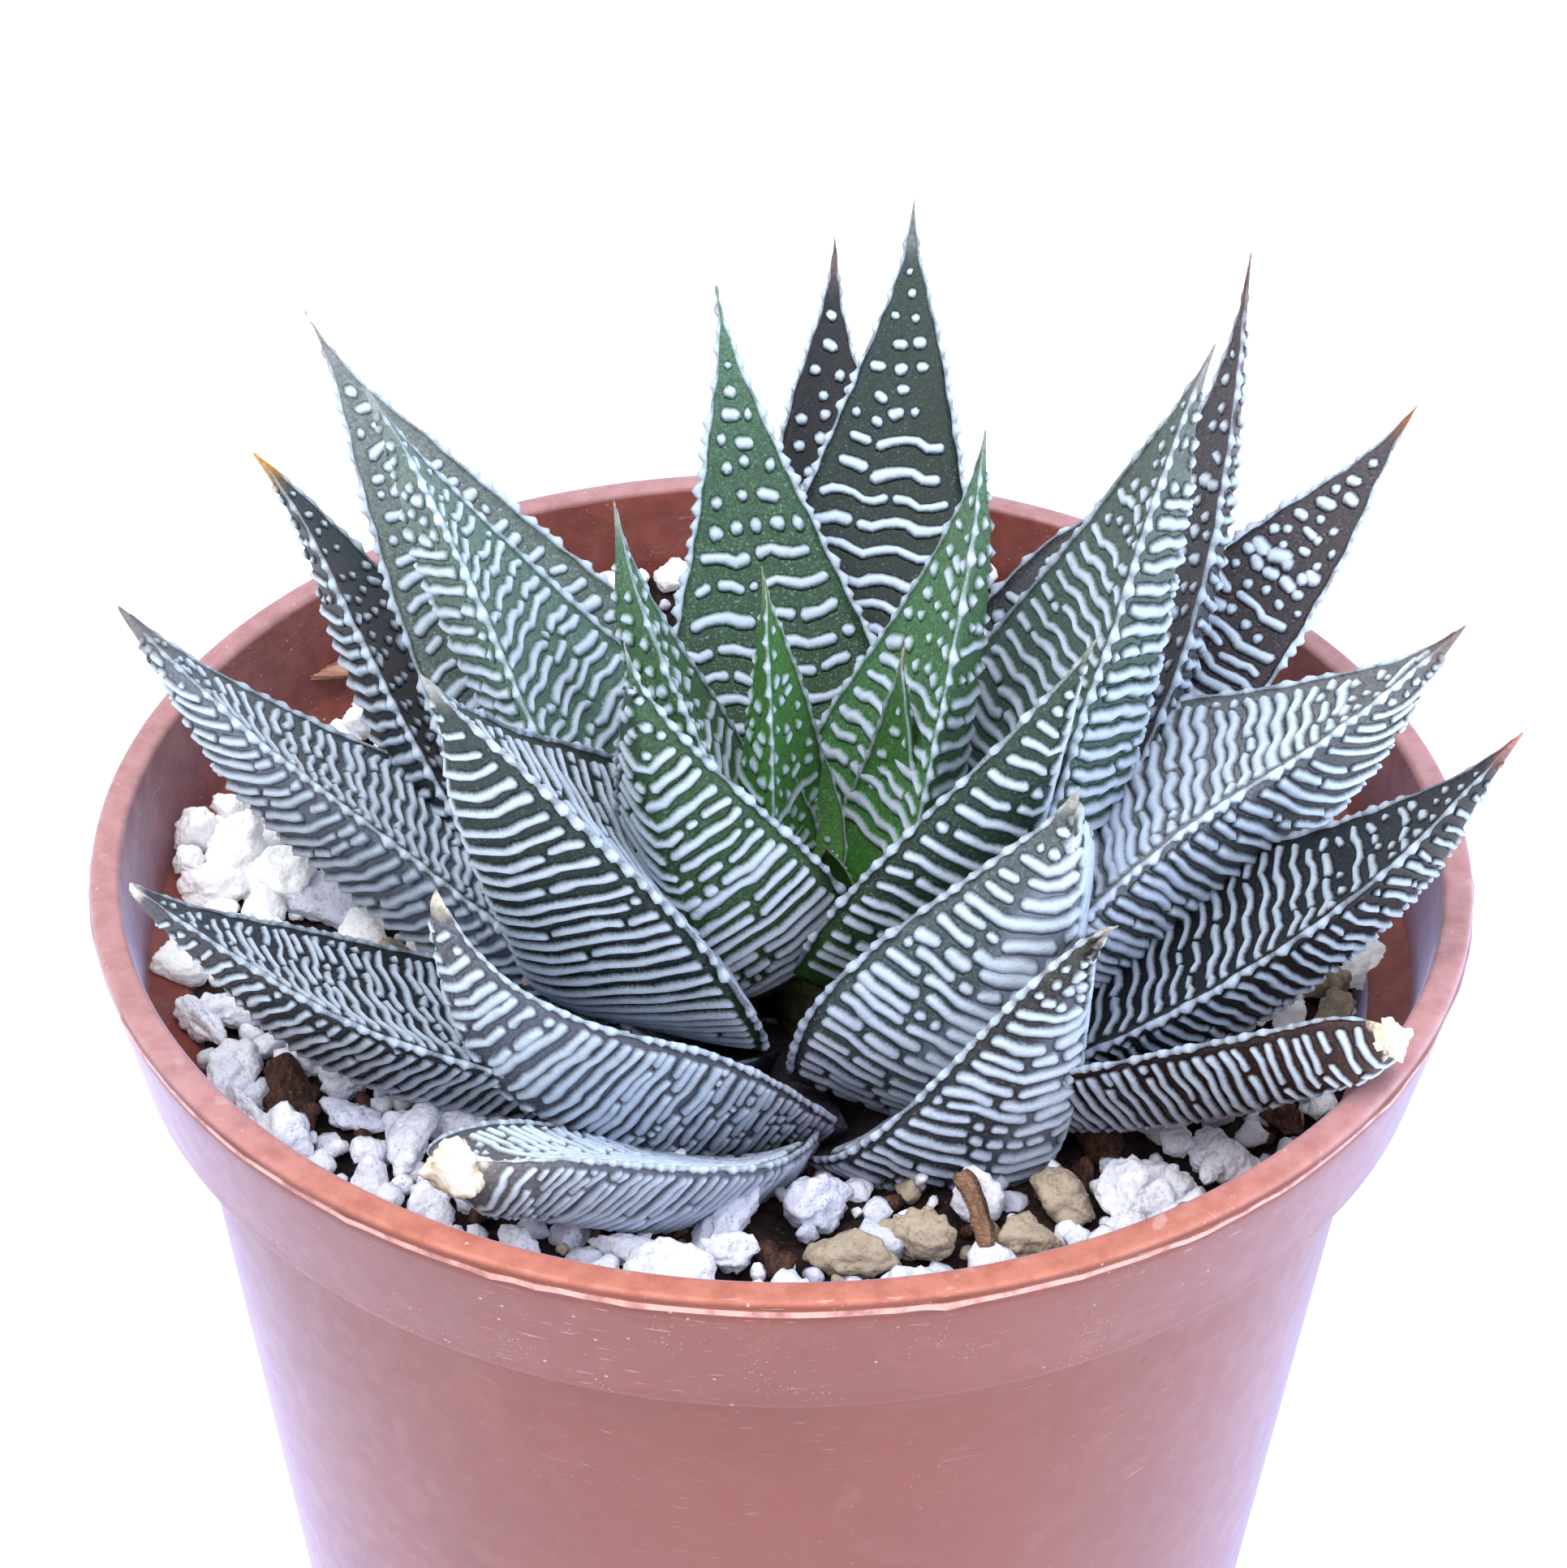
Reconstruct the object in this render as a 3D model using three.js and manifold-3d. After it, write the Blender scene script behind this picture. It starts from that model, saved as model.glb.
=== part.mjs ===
import * as THREE from 'three';
import { mergeVertices } from 'three/addons/utils/BufferGeometryUtils.js';
import Module from 'manifold-3d';

// Potted haworthia. Millimetres, +Z up, origin at the centre of the pot's underside.

// ---- driving dimensions -------------------------------------------------
const POT_HEIGHT = 75;
const RIM_OUTER = 42.5;        // outer radius at the top of the collar
const RIM_INNER = 40.52;       // inner radius at the top
const COLLAR_HEIGHT = 9.5;
const COLLAR_FOOT = 40.84;     // outer radius at the collar's lower edge
const BODY_TOP = 38.19;        // outer radius of the body just under the collar
const BODY_TAPER = 0.0932;     // radius lost per millimetre down
const WALL = 1.1;
const FLOOR = 1.6;
const BASE_EDGE = 0.8;         // chamfer round the underside
const SIDES = 44;
const HOLE_COUNT = 8;          // drainage holes in the floor
const HOLE_RADIUS = 2.6;
const HOLE_CIRCLE = 21;
const GAP = 0.35;              // clearance kept between neighbouring pieces
const SLIVER = 0.06;           // facets thinner than this are merged away
const STEM_AXIS = [2.5, -7.6];
const STEM_RADIUS = 2.6;
const STEM_FOOT = 48;
const STEM_TOP = 73;
const DISH_RADIUS = 16;        // the mix is scooped out under the rosette
const DISH_DEPTH = 5;
const LEAF_STEPS = 8;          // cross sections along a leaf
const MARGIN = 0.3;            // thickness of a leaf's edge
// points round a leaf's cross section: place across it, and true on the back
const RING = [[1, false], [0.5, false], [-0.5, false], [-1, false], [-1, true], [-0.55, true], [0, true], [0.55, true], [1, true]];

// A leaf: four control points of its centre line, the level direction across
// it, its roll along the length, half width, taper of the outline, depth of the
// keel against the half width, bluntness of the end, and age (1 is oldest).
const LEAVES = {
  leaf_01: { line: [[3.02,-3.89,70.82],[4.51,8.7,80.84],[7.82,21.25,90.6],[8.14,32.98,101.83]], side: [-0.991,0.137], roll: [0.074,0.088,0.068], half: 10.22, taper: 1.3, keel: 0.8, blunt: 0, rank: 3 },
  leaf_02: { line: [[1.57,-4.07,71.34],[-0.45,5.75,80.51],[-2.41,15.44,89.8],[-4.8,23.38,100.64]], side: [-0.974,-0.226], roll: [-0.091,-0.108,-0.082], half: 9.74, taper: 1.63, keel: 0.8, blunt: 0, rank: 4 },
  leaf_03: { line: [[2.53,-4.04,67.95],[2.75,11.23,75.94],[2.53,25.49,85.49],[3.03,39.23,95.85]], side: [-1,0.011], roll: [-0.003,-0.004,-0.002], half: 9.31, taper: 1.3, keel: 0.8, blunt: 0, rank: 1 },
  leaf_04: { line: [[-1.56,-5.6,69.71],[-12.5,3.11,78.05],[-21.76,11.11,88.54],[-30.27,18.75,100.04]], side: [-0.647,-0.763], roll: [-0.334,-0.449,-0.396], half: 11.37, taper: 1.3, keel: 0.8, blunt: -0.01, rank: 3 },
  leaf_05: { line: [[-0.7,-6.02,71.56],[-9.73,-1.73,80.96],[-17.53,1.8,91.57],[-24.84,4.88,102.73]], side: [-0.412,-0.911], roll: [-0.101,0.172,0.643], half: 9.66, taper: 0.97, keel: 0.9, blunt: 0, rank: 4 },
  leaf_06: { line: [[-1.29,-5.82,67.42],[-18.17,4.02,64.93],[-22.56,9.19,83.57],[-33.78,16.03,91.45]], side: [-0.558,-0.83], roll: [0.343,0.462,0.402], half: 9.5, taper: 0.9, keel: 0.87, blunt: 0, rank: 1 },
  leaf_07: { line: [[-2.34,-7.51,67.03],[-14.63,-3.17,74.4],[-29.45,-0.87,78.2],[-40.44,3.27,88.04]], side: [-0.272,-0.962], roll: [-0.075,0.533,0.48], half: 10.14, taper: 0.79, keel: 0.98, blunt: 0, rank: 2 },
  leaf_08: { line: [[-2.08,-10.25,67.62],[-15.34,-14.98,68.81],[-26.18,-18.62,75.41],[-36.1,-20.32,84.92]], side: [0.284,-0.959], roll: [0.342,0.108,0.221], half: 9.28, taper: 0.56, keel: 0.77, blunt: 0, rank: 1 },
  leaf_09: { line: [[3.08,-14.29,66.28],[-6.55,-14.65,71.13],[-16.34,-20.47,73.65],[-18.79,-22.05,85.98]], side: [0.335,-0.942], roll: [0.126,0.935,0.041], half: 9.41, taper: 0.46, keel: 0.81, blunt: 0, rank: 2 },
  leaf_10: { line: [[0.99,-17.38,64.64],[-4.45,-25.33,67.4],[-12.09,-27.07,75.58],[-18.97,-34.7,76.34]], side: [0.655,-0.755], roll: [0.88,-0.068,0.64], half: 7.06, taper: 0.48, keel: 0.7, blunt: 0.42, rank: 1 },
  leaf_11: { line: [[-1.35,-9.39,72.36],[-6.32,-12.31,82.28],[-13.82,-17.47,89.6],[-19.14,-20.5,99.24]], side: [0.53,-0.848], roll: [-0.5,0.053,-0.076], half: 11.43, taper: 1.05, keel: 1.12, blunt: 0, rank: 4 },
  leaf_12: { line: [[0.52,-6.96,73.18],[-1.1,-6.1,82.88],[-8.62,-4.18,90.22],[-9.75,-4,100.18]], side: [-0.277,-0.961], roll: [0.324,0.386,0.318], half: 8.06, taper: 1.26, keel: 0.82, blunt: 0, rank: 6 },
  leaf_13: { line: [[-0.22,-9.06,73.05],[-3.86,-11.11,80.84],[-7.75,-13.31,88.51],[-8.72,-14.25,97.46]], side: [0.521,-0.854], roll: [0.62,0.703,0.559], half: 8.22, taper: 1.51, keel: 0.8, blunt: 0, rank: 6 },
  leaf_14: { line: [[0.9,-6.38,74.21],[1.53,-6.11,81.88],[-0.22,-5.41,89.3],[-1.23,-5.15,96.81]], side: [-0.5,-0.866], roll: [0.172,0.198,0.141], half: 5.44, taper: 1.42, keel: 0.87, blunt: 0, rank: 7 },
  leaf_15: { line: [[1.43,-7.33,73.25],[0.95,-7.32,78.58],[-0.66,-6.52,83.72],[-0.73,-6.48,89.11]], side: [-0.365,-0.931], roll: [0.007,0.112,0.104], half: 4.76, taper: 1.6, keel: 0.78, blunt: 0, rank: 8 },
  leaf_16: { line: [[2.15,-5.61,74.82],[1.97,-3.07,77.42],[2.2,-1.66,80.48],[1.6,-1.99,84.16]], side: [-0.989,-0.149], roll: [0.013,0.015,0.01], half: 2.4, taper: 1.45, keel: 0.8, blunt: 0, rank: 9 },
  leaf_17: { line: [[4.12,-6.6,73],[7.27,-4.82,78.6],[6.34,-4.64,85.02],[6.97,-4.5,91.2]], side: [-0.592,0.806], roll: [-0.027,-0.09,-0.041], half: 4.85, taper: 1.54, keel: 0.79, blunt: 0, rank: 7 },
  leaf_18: { line: [[2.98,-5.99,73.37],[4.84,-3.55,83.26],[10.52,-0.38,91.85],[11.42,1.09,102.25]], side: [-0.643,0.766], roll: [-0.172,-0.441,-0.491], half: 8.34, taper: 1.22, keel: 0.87, blunt: 0, rank: 6 },
  leaf_19: { line: [[5.18,-8.86,72.22],[9.44,-10.6,80.5],[13.98,-11.49,88.78],[17.4,-12.89,97.52]], side: [0.314,0.95], roll: [-0.468,-0.536,-0.531], half: 9.41, taper: 1.57, keel: 0.8, blunt: 0, rank: 5 },
  leaf_20: { line: [[5.54,-10.38,68.81],[9.84,-13.89,75.03],[14.91,-14.25,81.8],[16.44,-16.64,89.8]], side: [0.498,0.867], roll: [-0.072,-0.737,-0.326], half: 11.89, taper: 1.15, keel: 0.98, blunt: 0, rank: 3 },
  leaf_21: { line: [[4.86,-12.32,64.3],[12.97,-18.05,67.5],[13.38,-17.91,78.84],[18.63,-22.41,84.59]], side: [0.591,0.806], roll: [-0.057,0.011,-0.022], half: 11.19, taper: 1.36, keel: 0.9, blunt: 0, rank: 2 },
  leaf_22: { line: [[6.44,-6.33,70.33],[13.03,-2.94,82.29],[19.02,-0.05,94.66],[24.29,2.09,107.54]], side: [-0.427,0.904], roll: [-0.099,-0.212,-0.403], half: 11.2, taper: 1.19, keel: 1, blunt: 0, rank: 4 },
  leaf_23: { line: [[6.22,-5.13,67.95],[19.77,6.03,74.32],[26.85,13.24,87.72],[28.74,21.48,103.63]], side: [-0.763,0.646], roll: [-0.408,-0.493,-0.493], half: 9.63, taper: 1.33, keel: 0.89, blunt: 0, rank: 2 },
  leaf_24: { line: [[5.65,-5.47,68.13],[17.59,4.56,75.39],[30.58,13.98,81.82],[41.06,23.55,91.83]], side: [-0.634,0.773], roll: [0.233,0.283,0.238], half: 9.5, taper: 1.11, keel: 0.8, blunt: 0, rank: 1 },
  leaf_25: { line: [[7.43,-7.18,69.4],[13.86,-2.56,83.05],[30.91,-1.62,80.63],[40.72,0.86,89.55]], side: [-0.235,0.972], roll: [0.017,-0.216,-0.353], half: 13.22, taper: 1.13, keel: 1.4, blunt: 0, rank: 2 },
  leaf_26: { line: [[7.15,-8.71,67.37],[20.86,-10.4,71.96],[32.86,-12.4,79],[41.72,-12.5,90.95]], side: [0.109,0.994], roll: [0.032,-0.02,-0.11], half: 10.19, taper: 1.02, keel: 1.04, blunt: 0, rank: 1 },
  leaf_27: { line: [[6.13,-9.97,67.75],[16.93,-16.17,68],[26.11,-20.96,73.8],[35.01,-25.78,80.2]], side: [0.48,0.877], roll: [-0.067,-0.432,-1.044], half: 6.88, taper: 1.24, keel: 0.74, blunt: 0.42, rank: 1 },
  leaf_28: { line: [[4.61,-4.94,67.64],[11.83,5.48,71.98],[17.63,15.18,79.07],[24.49,24.46,85.68]], side: [-0.829,0.56], roll: [0.034,0.046,0.086], half: 9.34, taper: 0.63, keel: 0.8, blunt: 0, rank: 1 },
};

// Large loose grains: centre, half sizes, turn about the vertical in degrees.
const GRAINS = {
  pumice_01: { at: [-35.39,8.02,66.79], half: [2.48,1.94,1.78], yaw: 0.0 },
  pumice_02: { at: [-36.5,3.0,67.2], half: [2.7,1.43,1.32], yaw: 8.0 },
  pumice_03: { at: [-31.85,3.24,66.96], half: [2.43,2.01,1.85], yaw: 0.0 },
  pumice_04: { at: [-29.13,2.0,66.32], half: [2.82,1.89,1.74], yaw: -30.4 },
  pumice_05: { at: [-37.3,-5.1,67.3], half: [1.7,1.6,1.5], yaw: 0.0 },
  pumice_06: { at: [-35.7,-10.47,67.18], half: [3.52,1.11,1.02], yaw: -55.4 },
  pumice_07: { at: [-32.66,-16.5,67.87], half: [2.24,1.47,1.35], yaw: 70.3 },
  pumice_08: { at: [-30.54,-20.78,68.36], half: [2.96,0.77,0.71], yaw: -53.5 },
  bark_01: { at: [-28.5,-18.93,67.27], half: [3.94,1.84,1.7], yaw: -71.8 },
  pumice_09: { at: [-25.1,-19.4,67.23], half: [2.11,1.06,0.98], yaw: -23.4 },
  pumice_10: { at: [-21.4,-22.4,67.57], half: [3.16,1.24,1.14], yaw: 77.3 },
  pumice_11: { at: [-18.65,-19.19,66.79], half: [2.56,1.54,1.42], yaw: 15.9 },
  grit_01: { at: [-8.0,-30.82,67.42], half: [2.4,1.1,1.01], yaw: -8.0 },
  pumice_12: { at: [-2.4,-26.54,66.68], half: [4.3,1.26,1.16], yaw: 66.5 },
  pumice_13: { at: [-2.87,-30.62,67.33], half: [1.85,1.1,1.01], yaw: 8.0 },
  pumice_14: { at: [1.91,-25.5,66.22], half: [2.16,1.79,1.64], yaw: 0.0 },
  grit_02: { at: [4.39,-29.85,66.41], half: [2.59,1.29,1.19], yaw: 0.0 },
  grit_03: { at: [8.61,-28.11,66.03], half: [2.52,1.72,1.59], yaw: 0.0 },
  grit_04: { at: [14.16,-27.43,65.67], half: [1.91,1.41,1.29], yaw: 15.9 },
  grit_05: { at: [16.65,-23.49,65.08], half: [1.81,1.91,1.76], yaw: 0.0 },
  pumice_15: { at: [21.26,-22.04,64.97], half: [3.11,2.02,1.86], yaw: 23.4 },
  pumice_16: { at: [26.67,-19.26,64.39], half: [2.75,1.66,1.53], yaw: -8.0 },
  bark_02: { at: [19.18,-17.14,64.16], half: [1.91,1.37,1.26], yaw: -43.0 },
  pumice_17: { at: [36.9,-2.2,65.3], half: [1.5,1.9,1.8], yaw: 0.0 },
};

const COLOURS = {
  pot: 0xb5786a, mix: 0x4a4038, stem: 0x6d6a55, leaf_young: 0x5f8a50, leaf_mid: 0x4c6456,
  leaf_old: 0x4d4746, pumice: 0xdfe0e2, grit: 0xc9bda4, bark: 0x4a3026, straw: 0xc9a786, scrap: 0x8d7f80,
};

// ---- solids -------------------------------------------------------------
const wasm = await Module();
wasm.setup();

function solid(geometry) {
  const g = geometry.clone();
  g.deleteAttribute('normal');
  g.deleteAttribute('uv');
  const m = mergeVertices(g, 1e-5);
  const tri = new Uint32Array(m.index.array);
  const kept = [];
  for (let i = 0; i < tri.length; i += 3) {
    const [a, b, c] = [tri[i], tri[i + 1], tri[i + 2]];
    if (a !== b && b !== c && c !== a) kept.push(a, b, c);
  }
  const pos = new Float32Array(m.attributes.position.array);
  let volume = 0;
  for (let i = 0; i < kept.length; i += 3) {
    const [a, b, c] = [kept[i] * 3, kept[i + 1] * 3, kept[i + 2] * 3];
    volume += pos[a] * (pos[b + 1] * pos[c + 2] - pos[b + 2] * pos[c + 1])
      + pos[a + 1] * (pos[b + 2] * pos[c] - pos[b] * pos[c + 2])
      + pos[a + 2] * (pos[b] * pos[c + 1] - pos[b + 1] * pos[c]);
  }
  if (volume < 0) for (let i = 0; i < kept.length; i += 3) [kept[i + 1], kept[i + 2]] = [kept[i + 2], kept[i + 1]];
  return new wasm.Manifold(new wasm.Mesh({ numProp: 3, vertProperties: pos, triVerts: new Uint32Array(kept) }));
}

// The main piece of a cut body, without the needle-thin facets that cuts leave.
function largest(body) {
  const biggest = (b) => b.decompose().reduce((a, c) => (c.volume() > a.volume() ? c : a));
  return biggest(biggest(body).asOriginal().simplify(SLIVER));
}

function piece(name, body, colour, roughness, origin = [0, 0, 0]) {
  const m = body.getMesh();
  const pos = new Float32Array((m.vertProperties.length / m.numProp) * 3);
  for (let i = 0, k = 0; i < m.vertProperties.length; i += m.numProp, k += 3) {
    for (let a = 0; a < 3; a++) pos[k + a] = m.vertProperties[i + a] - origin[a];
  }
  const geometry = new THREE.BufferGeometry();
  geometry.setAttribute('position', new THREE.BufferAttribute(pos, 3));
  geometry.setIndex(new THREE.BufferAttribute(new Uint32Array(m.triVerts), 1));
  geometry.computeVertexNormals();
  const mesh = new THREE.Mesh(geometry, new THREE.MeshStandardMaterial({ color: colour, roughness, metalness: 0 }));
  mesh.name = name;
  mesh.position.set(...origin);
  return mesh;
}

// Repeatable scatter between 0 and 1.
function scatter(seed) {
  let s = seed * 2654435761 % 4294967296;
  return () => { s = (s * 1664525 + 1013904223) % 4294967296; return s / 4294967296; };
}

// ---- pot ----------------------------------------------------------------
const COLLAR_FOOT_Z = POT_HEIGHT - COLLAR_HEIGHT;
const STEP_LOW = COLLAR_FOOT_Z + 0.5;    // the ledge inside, over the collar's foot
const STEP_HIGH = COLLAR_FOOT_Z + 1.7;
const COLLAR_INNER = 39.75;
const bodyRadius = (z) => BODY_TOP - BODY_TAPER * (COLLAR_FOOT_Z - z);
const BASE_RADIUS = bodyRadius(0);

// Inside radius of the wall at a height.
function insideRadius(z) {
  const low = bodyRadius(STEP_LOW) - WALL;
  if (z > STEP_HIGH) return COLLAR_INNER + (RIM_INNER - COLLAR_INNER) * (z - STEP_HIGH) / (POT_HEIGHT - STEP_HIGH);
  if (z > STEP_LOW) return low + (COLLAR_INNER - low) * (z - STEP_LOW) / (STEP_HIGH - STEP_LOW);
  return bodyRadius(z) - WALL;
}

// The wall's closed profile; extra > 0 gives the same wall grown by that much.
function potProfile(extra = 0) {
  const inner = (z) => insideRadius(z) - extra;
  return [
    [0, -extra],
    [BASE_RADIUS - BASE_EDGE, -extra],
    [BASE_RADIUS + extra, BASE_EDGE],
    [BODY_TOP + extra, COLLAR_FOOT_Z - extra],
    [COLLAR_FOOT + extra, COLLAR_FOOT_Z - extra],
    [RIM_OUTER + extra, POT_HEIGHT - 0.25],
    [RIM_OUTER - 0.25, POT_HEIGHT + extra],
    [RIM_INNER + 0.3, POT_HEIGHT + extra],
    [inner(POT_HEIGHT - 0.3), POT_HEIGHT - 0.3],
    [inner(STEP_HIGH), STEP_HIGH],
    [inner(STEP_LOW), STEP_LOW],
    [inner(FLOOR + 1.2), FLOOR + 1.2],
    [inner(FLOOR + 1.2) - 1.2, FLOOR + extra],
    [0, FLOOR + extra],
  ].map(([r, z]) => new THREE.Vector2(r, z));
}

function lathe(profile, sides = SIDES) {
  const g = new THREE.LatheGeometry(profile, sides);
  g.rotateX(Math.PI / 2);
  const pos = g.attributes.position;
  // the seam and the points on the axis are made exactly equal
  const rows = profile.length;
  for (let k = 0; k < rows; k++) {
    const a = k, b = sides * rows + k;
    pos.setXYZ(b, pos.getX(a), pos.getY(a), pos.getZ(a));
  }
  for (let i = 0; i < pos.count; i++) {
    if (Math.hypot(pos.getX(i), pos.getY(i)) < 1e-6) pos.setXYZ(i, 0, 0, pos.getZ(i));
  }
  return g;
}

let pot = solid(lathe(potProfile()));
for (let i = 0; i < HOLE_COUNT; i++) {
  const a = ((i + 0.5) / HOLE_COUNT) * 2 * Math.PI;
  const drill = new THREE.CylinderGeometry(HOLE_RADIUS, HOLE_RADIUS, FLOOR + 4, 12);
  drill.rotateX(Math.PI / 2);
  drill.translate(HOLE_CIRCLE * Math.cos(a), HOLE_CIRCLE * Math.sin(a), FLOOR / 2);
  pot = pot.subtract(solid(drill));
}
const potGrown = solid(lathe(potProfile(GAP)));

// ---- leaves -------------------------------------------------------------
function leafGeometry(leaf, grow = 0) {
  const line = new THREE.CubicBezierCurve3(...leaf.line.map((p) => new THREE.Vector3(...p)));
  const level = new THREE.Vector3(leaf.side[0], leaf.side[1], 0);
  const steps = leaf.half < 6 ? LEAF_STEPS - 2 : LEAF_STEPS;
  const blank = new THREE.SphereGeometry(1, RING.length, steps + 1);
  const pos = blank.attributes.position;
  const row = RING.length + 1;
  const section = (t) => {
    const c = line.getPoint(t), tangent = line.getTangent(t);
    const s = level.clone().addScaledVector(tangent, -level.dot(tangent)).normalize();
    const up = new THREE.Vector3().crossVectors(tangent, s);
    const roll = leaf.roll[0] * (1 - t) ** 2 + 2 * leaf.roll[1] * t * (1 - t) + leaf.roll[2] * t * t;
    const wide = s.multiplyScalar(Math.cos(roll)).addScaledVector(up, Math.sin(roll));
    const face = new THREE.Vector3().crossVectors(tangent, wide);
    const shape = (Math.max(1 - t ** 1.6, 1e-5) ** leaf.taper * (1 - leaf.blunt) + leaf.blunt)
      * (0.7 + 0.3 * Math.sin(Math.min(t / 0.35, 1) * Math.PI / 2));
    return { c, tangent, wide, face, w: leaf.half * shape };
  };
  const half = MARGIN / 2;
  for (let i = 0; i <= steps + 1; i++) {
    const t = i === 0 ? 1 : Math.max(0.965 * (1 - (i - 1) / (steps - 1)), 0);
    const ring = section(t);
    for (let j = 0; j <= RING.length; j++) {
      const [s, under] = RING[j % RING.length];
      const p = ring.c.clone();
      if (i === 0) {
        p.addScaledVector(ring.tangent, 1.5 * grow);
      } else {
        const low = -(leaf.keel * ring.w + 0.1) * (1 - Math.abs(s) ** 1.4);
        const high = -0.12 * ring.w * (1 - s * s);
        if (i === steps + 1) {
          p.addScaledVector(ring.face, -ring.w * leaf.keel * 0.35);
        } else {
          p.addScaledVector(ring.wide, ring.w * s + 1.15 * grow * Math.sign(s) * (Math.abs(s) === 1 || under ? 1 : 0));
          p.addScaledVector(ring.face, under ? low - half - 1.15 * grow : high + half + grow);
        }
        if (t === 0) p.addScaledVector(ring.tangent, -grow);
      }
      pos.setXYZ(i * row + j, p.x, p.y, p.z);
    }
  }
  return blank;
}

// ---- stem ---------------------------------------------------------------
function stemGeometry(grow = 0) {
  const g = lathe([
    [0, STEM_FOOT - grow], [STEM_RADIUS * 0.8 + grow, STEM_FOOT - grow], [STEM_RADIUS + grow, STEM_FOOT + 8],
    [STEM_RADIUS + grow, STEM_TOP - 6], [STEM_RADIUS * 0.45 + grow, STEM_TOP + grow], [0, STEM_TOP + grow],
  ].map(([r, z]) => new THREE.Vector2(r, z)), 16);
  g.translate(STEM_AXIS[0], STEM_AXIS[1], 0);
  return g;
}
const stem = solid(stemGeometry());
const stemGrown = solid(stemGeometry(GAP));

// The younger leaf keeps its shape and the older one is cut clear of it.
const order = Object.keys(LEAVES).sort((a, b) => LEAVES[b].rank - LEAVES[a].rank);
const grown = {}, leaves = {};
for (const name of order) {
  let body = solid(leafGeometry(LEAVES[name])).subtract(stemGrown).subtract(potGrown);
  for (const other of Object.keys(grown)) body = body.subtract(grown[other]);
  leaves[name] = largest(body);
  grown[name] = solid(leafGeometry(LEAVES[name], GAP));
}

// ---- loose grains, straw and the dry scrap --------------------------------
function grainGeometry(g, seed, grow = 0) {
  const blank = new THREE.IcosahedronGeometry(1, 1);
  blank.deleteAttribute('normal');
  blank.deleteAttribute('uv');
  const ball = mergeVertices(blank, 1e-4);
  const rnd = scatter(seed + 11);
  const pos = ball.attributes.position;
  const v = new THREE.Vector3();
  const yaw = THREE.MathUtils.degToRad(g.yaw);
  for (let i = 0; i < pos.count; i++) {
    v.fromBufferAttribute(pos, i);
    const k = 0.86 + 0.2 * rnd();
    v.multiplyScalar(k);
    v.set(v.x * (g.half[0] + grow), v.y * (g.half[1] + grow), v.z * (g.half[2] + grow));
    v.applyAxisAngle(new THREE.Vector3(0, 0, 1), yaw);
    pos.setXYZ(i, v.x + g.at[0], v.y + g.at[1], v.z + g.at[2]);
  }
  return ball;
}

function stick(points, width, thick) {
  const path = new THREE.CatmullRomCurve3(points.map((p) => new THREE.Vector3(...p)));
  const shape = new THREE.Shape();
  for (let i = 0; i < 6; i++) {
    const a = (i / 6) * 2 * Math.PI;
    const x = thick * Math.cos(a), y = width * Math.sin(a);
    if (i === 0) shape.moveTo(x, y); else shape.lineTo(x, y);
  }
  shape.closePath();
  return new THREE.ExtrudeGeometry(shape, { steps: 6, extrudePath: path, bevelEnabled: false });
}

const grains = {}, grainsGrown = [];
Object.entries(GRAINS).forEach(([name, g], i) => {
  let body = solid(grainGeometry(g, i)).subtract(potGrown);
  for (const other of Object.values(grown)) body = body.subtract(other);
  for (const other of grainsGrown) body = body.subtract(other);
  grains[name] = largest(body);
  grainsGrown.push(solid(grainGeometry(g, i, GAP + 0.1)));
});

const STRAWS = {
  straw_01: { points: [[-33.2, 23.4, 69.0], [-30.6, 24.3, 69.3], [-27.4, 24.9, 69.5]], width: 0.6, thick: 0.35 },
  fibre_01: { points: [[10.6, -23.9, 67.3], [11.3, -26.2, 67.1], [11.9, -29.2, 66.6]], width: 0.75, thick: 0.35 },
  leaf_scrap: { points: [[-14.5, -12.7, 71.5], [-13.1, -12.4, 71.9], [-11.8, -12.3, 71.5]], width: 0.9, thick: 0.3 },
};
const straws = {}, strawsGrown = [];
for (const [name, s] of Object.entries(STRAWS)) {
  let body = solid(stick(s.points, s.width, s.thick)).subtract(potGrown);
  for (const other of Object.values(grown)) body = body.subtract(other);
  for (const other of grainsGrown) body = body.subtract(other);
  straws[name] = largest(body);
  strawsGrown.push(solid(stick(s.points, s.width + GAP, s.thick + GAP)));
}

// ---- potting mix ----------------------------------------------------------
function mixHeight(x, y) {
  const free = 65.2 - 0.03 * x + 0.035 * y + 0.002 * y * y + 0.0018 * x * y;
  const d = Math.hypot(x - STEM_AXIS[0], y - STEM_AXIS[1]) / DISH_RADIUS;
  return free - (d < 1 ? DISH_DEPTH * (1 - d * d) ** 2 : 0);
}
const MIX_RINGS = [0.12, 0.26, 0.4, 0.55, 0.7, 0.85, 1];
function mixGeometry() {
  const profile = [[0, 20], [40.6, 20], ...MIX_RINGS.slice().reverse().map((k) => [40.6 * k, 60]), [0, 60]];
  const g = lathe(profile.map(([r, z]) => new THREE.Vector2(r, z)), SIDES / 2);
  const pos = g.attributes.position;
  for (let i = 0; i < pos.count; i++) {
    if (i % profile.length > 1) pos.setZ(i, mixHeight(pos.getX(i), pos.getY(i)));
  }
  return g;
}
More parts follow.
